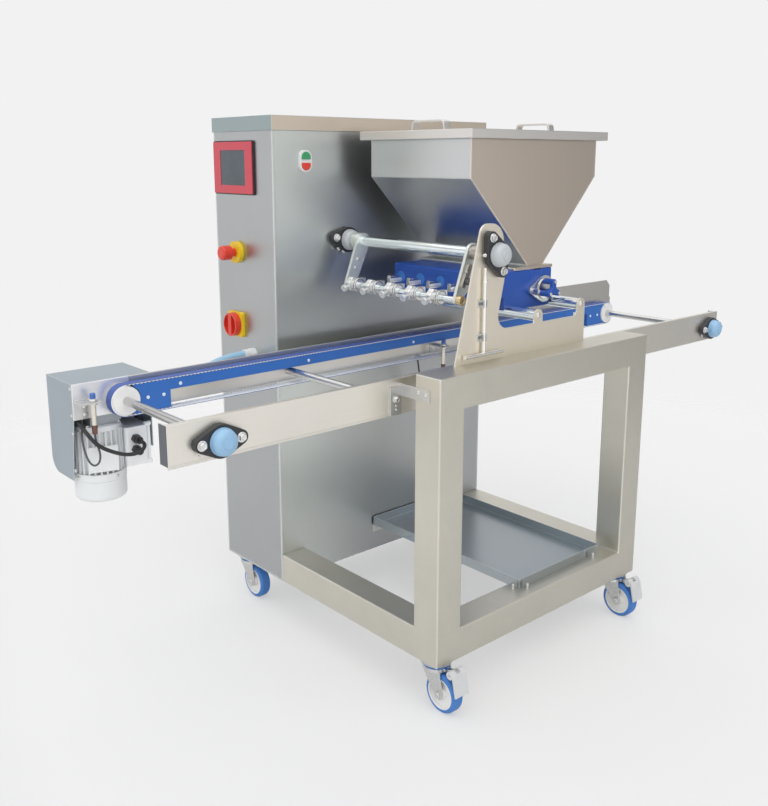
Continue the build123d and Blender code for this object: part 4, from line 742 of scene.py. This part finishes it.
finish(
    "sensor_steel", (0.80, 0.76, 0.67), 0.30, 0.8, (200, 200, 900), 0.3, (40, 0.15),
    edge=(0.0006, 0.5, (0.88, 0.86, 0.80)), bump=0.3,
    second=(plug_end, (0.16, 0.075, 0.055), 0.42, 0.0), on=["sensors"],
)
for piece, paint in ((motor_lead, cable_black), (conduit, hose_blue), (sensor_lead_1, lead_grey),
                     (sensor_lead_2, cable_black)):
    piece.data.materials.append(paint)
tell("cable")

# %% Controls
finish(
    "frame_black", (0.018, 0.018, 0.020), 0.4, 0.0, 200, 0.15, (30, 0.2),
    edge=(0.0012, 0.5, (0.08, 0.08, 0.09)), bump=0.15, on=["screen_frame"],
)
finish(
    "bezel_red", (0.60, 0.040, 0.070), 0.30, 0.0, 200, 0.06, (25, 0.12),
    edge=(0.001, 0.4, (0.85, 0.20, 0.24)), bump=0.08, coat=0.3, on=["screen_bezel"],
)
finish(
    "screen_dark", (0.034, 0.054, 0.072), 0.14, 0.0, (8, 8, 40), 0.5, (12, 0.9),
    edge=(0.0008, 0.3, (0.06, 0.07, 0.08)), bump=0.02, relief=0.0001, coat=0.5, on=["screen_glass"],
)
finish(
    "signal_yellow", (0.86, 0.60, 0.012), 0.4, 0.0, 150, 0.06, (25, 0.14),
    edge=(0.0012, 0.4, (0.95, 0.78, 0.20)), bump=0.08, on=["switch_plates"],
)
finish(
    "signal_red", (0.72, 0.045, 0.022), 0.30, 0.0, 150, 0.06, (25, 0.14),
    edge=(0.0015, 0.4, (0.90, 0.22, 0.14)), bump=0.06, coat=0.2,
    on=["stop_button", "switch_knob", "halt_button"],
)
finish(
    "button_white", (0.80, 0.81, 0.81), 0.34, 0.0, 150, 0.05, (25, 0.1),
    edge=(0.0012, 0.4, (0.92, 0.92, 0.92)), bump=0.06, coat=0.2, on=["button_plate"],
)
finish(
    "button_green", (0.045, 0.33, 0.13), 0.32, 0.0, 150, 0.06, (25, 0.14),
    edge=(0.0012, 0.4, (0.16, 0.50, 0.26)), bump=0.06, on=["start_button"],
)
tell("control")

# %% Casters
corners = ("front_left", "front_right", "rear_left", "rear_right")
finish(
    "fork_steel", (0.68, 0.68, 0.67), 0.28, 1.0, 90, 0.14, (25, 0.2),
    edge=(0.0015, 0.7, (0.94, 0.94, 0.93)), bump=0.1, on=["yoke_" + corner for corner in corners],
)
finish(
    "pedal_grey", (0.66, 0.67, 0.68), 0.36, 0.2, 90, 0.1, (25, 0.16),
    edge=(0.0015, 0.5, (0.86, 0.86, 0.86)), bump=0.1, on=["pedal_front_left", "pedal_front_right"],
)
finish(
    "head_steel", (0.62, 0.62, 0.61), 0.34, 1.0, 90, 0.14, (25, 0.2),
    edge=(0.0015, 0.5, (0.9, 0.9, 0.89)), bump=0.1,
    second=(beyond("Z", 0.1219, low=True), (0.05, 0.18, 0.50), 0.45, 0.0), on=["caster_heads"],
)
for corner in corners:
    low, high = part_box("wheel_" + corner)
    hub = tuple((a + b) / 2 for a, b in zip(low, high))
    finish(
        "tyre_" + corner, (0.055, 0.200, 0.560), 0.5, 0.0, 120, 0.12, (25, 0.22),
        edge=(0.001, 0.3, (0.14, 0.32, 0.70)), bump=0.2, relief=0.0003,
        second=(inside(hub, (0, 1, 1), 0.0392), (0.84, 0.84, 0.83), 0.4, 0.0),
        on=["wheel_" + corner],
    )
tell("caster")

# %% [markdown]
# ## Welded frame
# The square tubes are welded and the seams ground flat, so the eye sees one piece with softly
# rounded edges. Separate boxes would show a line at every joint. Here all the tubes are cut in
# the cells of one grid, only the outer walls of the filled cells are kept, flat neighbours are
# merged, and a bevel rounds what is left.

# %% One skin round many boxes
def one_skin(name, boxes, rounding):
    """Mesh of the outside of boxes in millimetres, given by their two corners."""
    cuts = [sorted({corner[axis] for box in boxes for corner in box}) for axis in range(3)]

    def filled(cell):
        if any(not 0 <= c < len(cut) - 1 for c, cut in zip(cell, cuts)):
            return False
        middle = [(cut[c] + cut[c + 1]) / 2 for c, cut in zip(cell, cuts)]
        return any(all(a < m < b for a, m, b in zip(box[0], middle, box[1])) for box in boxes)

    shape = bmesh.new()
    cells = [cell for cell in product(*(range(len(cut) - 1) for cut in cuts)) if filled(cell)]
    for cell, axis, step in product(cells, range(3), (0, 1)):
        beside = list(cell)
        beside[axis] += 2 * step - 1
        if filled(beside):
            continue
        wall = []
        for u, v in ((0, 0), (1, 0), (1, 1), (0, 1)):
            spot = list(cell)
            spot[axis] += step
            spot[(axis + 1) % 3] += u
            spot[(axis + 2) % 3] += v
            wall.append(shape.verts.new([cut[s] / 1000 for s, cut in zip(spot, cuts)]))
        shape.faces.new(wall if step else wall[::-1])
    bmesh.ops.remove_doubles(shape, verts=shape.verts, dist=1e-6)
    bmesh.ops.dissolve_limit(shape, angle_limit=0.01, verts=shape.verts, edges=shape.edges)
    sharp = [e for e in shape.edges if len(e.link_faces) == 2 and e.calc_face_angle() > 0.5]
    bmesh.ops.bevel(shape, geom=sharp, offset=rounding / 1000, segments=4, profile=0.5,
                    affect="EDGES", clamp_overlap=True)
    return mesh_from(name, shape)


def add_piece(name, mesh, body, material):
    mesh.materials.append(material)
    piece = add_object(name, mesh)
    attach(piece, body)
    print(name, len(mesh.polygons), "faces")
    return piece


def skinned(name, boxes, rounding, material):
    return add_piece(name, one_skin(name, boxes, rounding), "machine", material)


# %% Portal, link beams and the ledge of the tray
tube = 80
portal_front, portal_back, link_back = -431.5, -351.5, 192.5
left_leg, right_leg, foot, top = -416, 312, 128, 832
tubes = []
for side in (left_leg, right_leg):
    tubes.append(((side, portal_front, foot), (side + tube, portal_back, top)))
    tubes.append(((side, portal_back, foot), (side + tube, link_back, foot + tube)))
for low in (foot, top - tube):
    tubes.append(((left_leg + tube, portal_front, low), (right_leg, portal_back, low + tube)))
# The frame's warm tone is partly the steel's own and partly a painted reflection of the room.
weld_steel = finish(
    "weld_steel", (0.70, 0.675, 0.60), 0.40, 1.0, 60, 0.16, (6, 0.16),
    edge=(0.0035, 0.7, (0.95, 0.945, 0.92)), bump=0.06,
)
portal = skinned("welded_portal", tubes, 3.0, weld_steel)
skinned("tray_ledge", [
    ((-76, 167.5, 205), (269, link_back, foot + tube)),
    ((-76, 189.5, 183), (269, link_back, foot + tube)),
], 0.6, bracket_steel)
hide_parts("portal_frame")

# %% [markdown]
# ## Fasteners
# Bolts, screws and nipples tell the eye how big the machine is. Each is turned from a small
# profile, six sides for a hexagon and many for a round head, and all the fasteners of one kind
# on one body are joined in one piece, so that the scene stays light.

# %% Turning a profile
def turned(shape, profile, place, axis, sides, closed=False, twist=0.0):
    """Adds a solid turned from (radius, height) pairs, standing on place along axis."""
    turn = Vector(axis).to_track_quat("Z", "Y").to_matrix().to_4x4()
    seat = Matrix.Translation(Vector(place)) @ turn
    rings = []
    for radius, rise in profile:
        if radius == 0:
            rings.append([shape.verts.new(seat @ Vector((0, 0, rise)))])
            continue
        ring = []
        for step in range(sides):
            angle = 2 * math.pi * (step + 0.5) / sides + twist
            spot = Vector((radius * math.cos(angle), radius * math.sin(angle), rise))
            ring.append(shape.verts.new(seat @ spot))
        rings.append(ring)
    if closed:
        rings.append(rings[0])
    for lower, upper in zip(rings, rings[1:]):
        for step in range(sides):
            after = (step + 1) % sides
            if len(lower) == 1:
                shape.faces.new((lower[0], upper[step], upper[after]))
            elif len(upper) == 1:
                shape.faces.new((lower[step], lower[after], upper[0]))
            else:
                shape.faces.new((lower[step], lower[after], upper[after], upper[step]))


def profiled(profile, sides, **how):
    """A maker of one turned piece, with its profile in parts of its size."""
    def make(shape, place, axis, size):
        scaled_profile = [(radius * size, rise * size) for radius, rise in profile]
        turned(shape, scaled_profile, place, axis, sides, **how)
    return make


# A washer, and a hexagon head with chamfered corners and a dished top
washer_rise = 0.22
washer = profiled([(0, 0), (1.28, 0), (1.28, 0.16), (1.2, washer_rise), (0, washer_rise)], 24)
hexagon_head = profiled([(0, 0), (1, 0), (1, 0.58), (0.88, 0.72), (0.55, 0.72), (0.5, 0.66),
                         (0, 0.66)], 6)


def hexagon_bolt(shape, place, axis, size):
    """Washer and head; size is half the width across corners."""
    washer(shape, place, axis, size)
    head = Vector(place) + Vector(axis).normalized() * washer_rise * size
    hexagon_head(shape, head, axis, size)


# Round head with a rolled edge and a deep socket
socket_screw = profiled([(0, 0), (1, 0), (1, 0.7), (0.86, 0.84), (0.5, 0.84), (0.46, 0.3),
                         (0, 0.3)], 20)
# Low domed head with a small socket
pan_screw = profiled([(0, 0), (1, 0), (0.96, 0.22), (0.7, 0.44), (0.36, 0.52), (0.32, 0.3),
                      (0, 0.3)], 16)
# Grease nipple: foot, neck and a ball tip
nipple = profiled([(0, 0), (1, 0), (1, 0.8), (0.5, 1.1), (0.45, 1.5), (0.75, 1.9), (0.7, 2.3),
                   (0.3, 2.6), (0, 2.6)], 12)
# Short turned stud with a chamfered tip
stud = profiled([(0, 0), (1, 0), (1, 3.4), (0.7, 3.75), (0, 3.75)], 20)


def turned_mesh(name, kind, places):
    """One mesh of many turned pieces; places are (place, axis, size) in millimetres."""
    shape = bmesh.new()
    for place, axis, size in places:
        kind(shape, tuple(v / 1000 for v in place), axis, size / 1000)
    bmesh.ops.recalc_face_normals(shape, faces=shape.faces)
    mesh = mesh_from(name, shape)
    mesh.shade_smooth()
    mesh.set_sharp_from_angle(angle=math.radians(32))
    return mesh


def fastened(name, kind, places, material=bright_steel,
             body="machine"):
    return add_piece(name, turned_mesh(name, kind, places), body, material)


# %% Bearing bolts and grease nipples
front, back, left, right = (0, -1, 0), (0, 1, 0), (-1, 0, 0), (1, 0, 0)
up, down = (0, 0, 1), (0, 0, -1)
bolt_circle = 45


def on_circle(centre, radius, degrees):
    """A point on a circle round the first two coordinates of a centre."""
    angle = math.radians(degrees)
    return centre[0] + radius * math.cos(angle), centre[1] + radius * math.sin(angle)


rocker_x, rocker_z = -173, 1087
bearing_bolts = []
for (x, y, z), lean, out in (
    ((rocker_x, 177.5, rocker_z), 170, front), ((rocker_x, -376.5, rocker_z), -64, front),
    ((drive_x, -317.5, shaft_z), 0, front), ((idler_x, -317.5, shaft_z), 0, front),
    ((idler_x, 146.5, shaft_z), 0, back),
):
    for way in (-1, 1):
        bolt_x, bolt_z = on_circle((x, z), bolt_circle * way, lean)
        bearing_bolts.append(((bolt_x, y, bolt_z), out, 8.6))
fastened("bearing_bolts", hexagon_bolt, bearing_bolts)
fastened("grease_nipples", nipple, [
    ((-208, 184, 1065.5), (-0.2, -0.8, -0.5), 4.0), ((-191, 184, 1057), (-0.2, -0.8, -0.5), 4.0),
    ((-208, -368, 1087), (-1, -0.3, 0.1), 4.4),
    ((-951, -310, 751), (-0.4, -0.2, -1), 3.4), ((904, -310, 751), (-0.4, -0.2, -1), 3.4),
])

# %% Bolts of the plate, the brackets, the arms and the tray's studs
fastened("plate_bolts", pan_screw,
         [((2, -361.5, 921), front, 7.4), ((177, -361.5, 933), front, 7.4)])
bracket_front, bracket_places = -307, (-434, 410)
bracket_screws = []
for face, out in ((-419, left), (395, right)):
    bracket_screws += [((face, -364.6, 790.6), out, 5.6), ((face, -388.9, 788.6), out, 5.6)]
for x in bracket_places:
    bracket_screws += [((x, bracket_front, z), front, 3.2) for z in (752, 743)]
fastened("bracket_screws", pan_screw, bracket_screws)
fastened("bracket_bolts", hexagon_bolt,
         [((x, bracket_front, shaft_z), front, 7.0) for x in bracket_places])
arm_front = -302.5
fastened("arm_bolts", socket_screw, [
    ((-193.8, 114.5, 1039), front, 4.8), ((-202.9, 114.5, 1016.3), front, 3.4),
    ((-203.7, arm_front, 1042), front, 4.2),
], body="rocker")
dark_steel = finish(
    "dark_steel", (0.20, 0.205, 0.21), 0.36, 0.9, 300, 0.2, (60, 0.25),
    edge=(0.0008, 0.7, (0.60, 0.60, 0.60)), bump=0.08, relief=0.0001,
)
fastened("arm_nut", hexagon_bolt, [((-203, -307.5, 1019.4), front, 7.2)], dark_steel,
         body="rocker")
fastened("tray_studs", stud,
         [((-88, -381.5, 208), up, 4), ((-56, -403.5, 208), up, 4), ((229, -403.5, 208), up, 4)],
         bracket_steel)

# %% Screws of the strips, the hood, the tabs, the clips and the knob
strip_sides = ((94.5, front), (-264.5, back))
strip_places = [(x, 765) for x in (-849.5, -809, 856, 896)]
strip_places += [(-764 + step * 381, 785) for step in range(5)]
strip_screws = [((x, y, z), out, 4.3) for x, z in strip_places for y, out in strip_sides]
screw_pale = finish(
    "screw_pale", (0.80, 0.88, 0.95), 0.4, 0.1, 200, 0.06, (60, 0.12),
    edge=(0.0005, 0.4, (0.90, 0.94, 0.97)), bump=0.05, relief=0.0001,
)
fastened("strip_screws", pan_screw, strip_screws, screw_pale)
fastened("hood_screws", pan_screw, [((-1016, 138, z), left, 4.6) for z in (804, 742, 700, 612)])
fastened("tab_screws", pan_screw, [
    ((-990, 124.5, 763), front, 6.2), ((-990, 124.5, 744), front, 6.2),
    ((101, 124.5, 745), front, 4.0), ((121, 124.5, 745), front, 4.0),
])
# The clip screws take the dark steel as a painted shade of the recesses they sit in.
fastened("clip_screws", pan_screw,
         [((-220, -363.5, 973), front, 4.2), ((-220, -363.5, 892), front, 4.2)], dark_steel)
knob_middle, knob_circle = (139, 967), 20.5
knob_places = [on_circle(knob_middle, knob_circle, a) for a in (90, 210, 330)]
fastened("knob_screws", socket_screw,
         [((x, -302.6, z), front, 4.4) for x, z in knob_places], body="valve")

# %% Screws and locks of the panel on the back
# Round lock with a raised rim and a sunk key hole
quarter_lock = profiled([(0, 0), (1, 0), (1, 0.22), (0.9, 0.32), (0.7, 0.32), (0.66, 0.2),
                         (0.34, 0.2), (0.3, 0.06), (0, 0.06)], 32)
panel_back = 479.3
fastened("panel_screws", pan_screw,
         [((x, panel_back, z), back, 5.2) for x in (-340, 316) for z in (206, 572, 938, 1302)])
fastened("panel_locks", quarter_lock,
         [((-318, panel_back, z), back, 12) for z in (480, 1030)], dark_steel)

# %% [markdown]
# ## Trim of the rocker and the bearings
# Each split clamp is closed by a hexagon nut and a grooved ring, and a flat thumbscrew sets it on
# the bar. Collars keep the shaft from wandering, and the bearing caps have a raised disc in front.
# They could be cut in the solids, but turned rings over the plain shapes give the small steps and
# grooves that catch the light, and they ride on the same bodies.

# %% Nuts, rings and thumbscrews of the clamps
bar_line = (-226, 974.9)
clamp_rows = (-238.5, -160.5, -82.5, -4.5, 73.5)
screw_lean = math.radians(17)
# Hexagon nut round the bar, chamfered at both ends
clamp_nut = profiled([(0.40, 0), (0.90, 0), (1, 0.07), (1, 0.75), (0.90, 0.82), (0.40, 0.82)], 6,
                     closed=True, twist=screw_lean)
# Ring of two bands with a groove between them
clamp_ring = profiled([(0.44, 0), (0.95, 0), (1, 0.05), (1, 0.15), (0.88, 0.18), (0.88, 0.28),
                       (1, 0.31), (1, 0.41), (0.95, 0.46), (0.44, 0.46)], 36, closed=True)
# Flat round head with a rolled rim and a sunk face
thumb_head = profiled([(0, 0), (0.9, 0), (1, 0.08), (1, 0.60), (0.92, 0.68), (0.74, 0.68),
                       (0.68, 0.62), (0, 0.62)], 28)
# The groove of each ring is painted dark: painted shade in the recess.
groove = between((bar_line[0] / 1000, 0, bar_line[1] / 1000), (1, 0, 1), 0.0155, 0.0172)
ring_steel = finish(
    "ring_steel", (0.86, 0.865, 0.86), 0.26, 0.85, 200, 0.14, (40, 0.2),
    edge=(0.0006, 0.8, (0.97, 0.97, 0.97)), bump=0.06, relief=0.0001,
    second=(groove, (0.13, 0.135, 0.14), 0.4, 0.8),
)
fastened("clamp_nuts", clamp_nut,
         [((bar_line[0], y + 34.4, bar_line[1]), front, 20.5) for y in clamp_rows],
         clamp_steel, body="rocker")
fastened("clamp_rings", clamp_ring,
         [((bar_line[0], y + 4.3, bar_line[1]), front, 18.5) for y in clamp_rows],
         ring_steel, body="rocker")
aim = (-math.cos(screw_lean), 0, -math.sin(screw_lean))
head_reach = 27.8
fastened("thumb_heads", thumb_head,
         [((bar_line[0] + head_reach * aim[0], y + 26, bar_line[1] + head_reach * aim[2]), aim, 9.8)
          for y in clamp_rows], clamp_steel, body="rocker")

# %% Bush at the end of the bar, with a countersunk bore
bush_brass = finish(
    "bush_brass", (0.78, 0.62, 0.36), 0.28, 0.9, 200, 0.12, (60, 0.16),
    edge=(0.0008, 0.6, (0.95, 0.84, 0.60)), bump=0.06, relief=0.0001,
)
bar_bush = profiled([(0.42, 0), (0.94, 0), (1, 0.06), (1, 0.84), (0.90, 0.94), (0.62, 0.94),
                     (0.48, 0.80), (0.42, 0.80)], 32, closed=True)
fastened("bar_bush", bar_bush, [((bar_line[0], arm_front, bar_line[1]), front, 12.2)],
         bush_brass, body="rocker")

# %% Collars of the shaft and sleeves of the piston rods
# Plain collar with chamfered ends
collar = profiled([(0.5, 0), (0.93, 0), (1, 0.07), (1, 1.13), (0.93, 1.2), (0.5, 1.2)], 40,
                  closed=True)
fastened("shaft_collars", collar,
         [((rocker_x, 149, rocker_z), front, 22), ((rocker_x, arm_front, rocker_z), front, 19.5)],
         arm_steel, body="rocker")
# The left ends of the rod sleeves are painted dark: painted shade at the ends of the rods.
rod_steel = finish(
    "rod_steel", (0.93, 0.935, 0.94), 0.26, 0.45, (20, 300, 300), 0.12, (30, 0.14),
    edge=(0.0008, 0.4, (0.95, 0.95, 0.95)), bump=0.04, relief=0.0001,
    second=(beyond("X", -0.1172, low=True), (0.40, 0.42, 0.44), 0.4, 0.8),
)
# Sleeve over a piston rod, chamfered at its outer end
rod_sleeve = profiled([(0, 0), (0.9, 0), (1, 0.2), (1, 6.4), (0.9, 6.6), (0, 6.6)], 28)
fastened("rod_sleeves", rod_sleeve,
         [((-72, y, 977), left, 7.0) for y in clamp_rows], rod_steel, body="pistons")

# %% Discs of the bearing caps and tips of the sensors
# Low raised disc with a step
cap_disc = profiled([(0, 0), (1.12, 0), (1.08, 0.06), (1, 0.07), (0.94, 0.16), (0, 0.18)], 40)
disc_size = 11.5
fastened("grey_cap_discs", cap_disc,
         [((rocker_x, -401.4, rocker_z), front, disc_size)], cap_grey)
fastened("blue_cap_discs", cap_disc, [
    ((drive_x, -342.4, shaft_z), front, disc_size), ((idler_x, -342.4, shaft_z), front, disc_size),
    ((idler_x, 171.4, shaft_z), back, disc_size),
], cap_blue)
# Plastic front of a sensor, and a thin hexagon nut on its threaded body
sensor_tip = profiled([(0, 0), (1, 0), (1, 1.7), (0.86, 1.9), (0, 1.9)], 28)
lock_nut = profiled([(0.5, 0), (0.92, 0), (1, 0.08), (1, 0.42), (0.92, 0.5), (0.5, 0.5)], 6,
                    closed=True)
sensor_1, sensor_2, nut_size = (-980, 102.5), (111, 82.5), 10.6
fastened("sensor_nuts", lock_nut, [
    ((*sensor_1, 777), up, nut_size), ((*sensor_1, 774), down, nut_size),
    ((*sensor_2, 760), up, nut_size), ((*sensor_2, 757), down, nut_size),
])
tip_blue = finish(
    "tip_blue", (0.05, 0.16, 0.50), 0.36, 0.0, 200, 0.08, (60, 0.14),
    edge=(0.0006, 0.4, (0.20, 0.36, 0.72)), bump=0.06, relief=0.0001,
)
fastened("sensor_tips", sensor_tip,
         [((*sensor_1, 783.5), up, 6.4), ((*sensor_2, 766.5), up, 6.4)], tip_blue)

# %% Plates of the beam brackets and the hem of the beam
skinned("bracket_faces", [
    ((-452, bracket_front, 729), (-416.5, -302.5, 796)),
    ((392.5, bracket_front, 729), (428, -302.5, 796)),
], 0.7, bracket_steel)
skinned("beam_hem", [((-1015, -302.4, 727.5), (1001, -299, 734))], 0.8, beam_steel)

# %% [markdown]
# ## Motor trim
# A bare rating plate stands on the fins, the terminal box has a lid with four screw bosses, two
# bolts of the flange show and the fan cover has a pressed rim. Such small pieces make a plain
# cylinder read as a motor. The plate could be painted on, but a thin sheet with rounded edges
# catches the light as the real one does.

# %% Rating plate and lid
motor_axis = Vector((-944, 170.5, 0))
plate_lean = math.radians(-15)
plate_mesh = one_skin("rating_plate", [((-34, -1.2, 603), (34, 0, 664))], 0.4)
plate_mesh.transform(
    Matrix.Translation(motor_axis / 1000) @ Matrix.Rotation(plate_lean, 4, "Z")
    @ Matrix.Translation((0, -0.0582, 0))
)
add_piece("rating_plate", plate_mesh, "machine", plate_pale)
skinned("terminal_lid", [((-840, 125.5, 600), (-833, 215.5, 690))], 2.0, motor_grey)
# Screw boss of a lid, with a sunk screw
boss = profiled([(0, 0), (1, 0), (1, 2.5), (0.8, 2.7), (0.55, 2.7), (0.5, 2.3), (0, 2.3)], 20)
fastened("lid_bosses", boss,
         [((-848, y, z), right, 6.0) for y in (128, 213) for z in (601, 693)],
         motor_grey)

# %% Flange bolts, fan rim and fan screws
# Pressed band round the mouth of the fan cover
rim_band = profiled([(1, 0), (1.02, 0.02), (1.02, 0.30), (1, 0.32)], 64, closed=True)
flange_circle, fan_circle = 49, 60.4
fastened("flange_bolts", hexagon_bolt,
         [((*on_circle(motor_axis, flange_circle, a), 708), up, 5.0) for a in (-40, -140)])
fastened("fan_rim", rim_band, [((motor_axis.x, motor_axis.y, 577), up, 59.4)],
         fan_white)
fastened("fan_screws", pan_screw, [
    ((*on_circle(motor_axis, fan_circle, a), 587), (*on_circle((0, 0), 1, a), 0), 4.0)
    for a in (-75, 15, 105, 195)
])
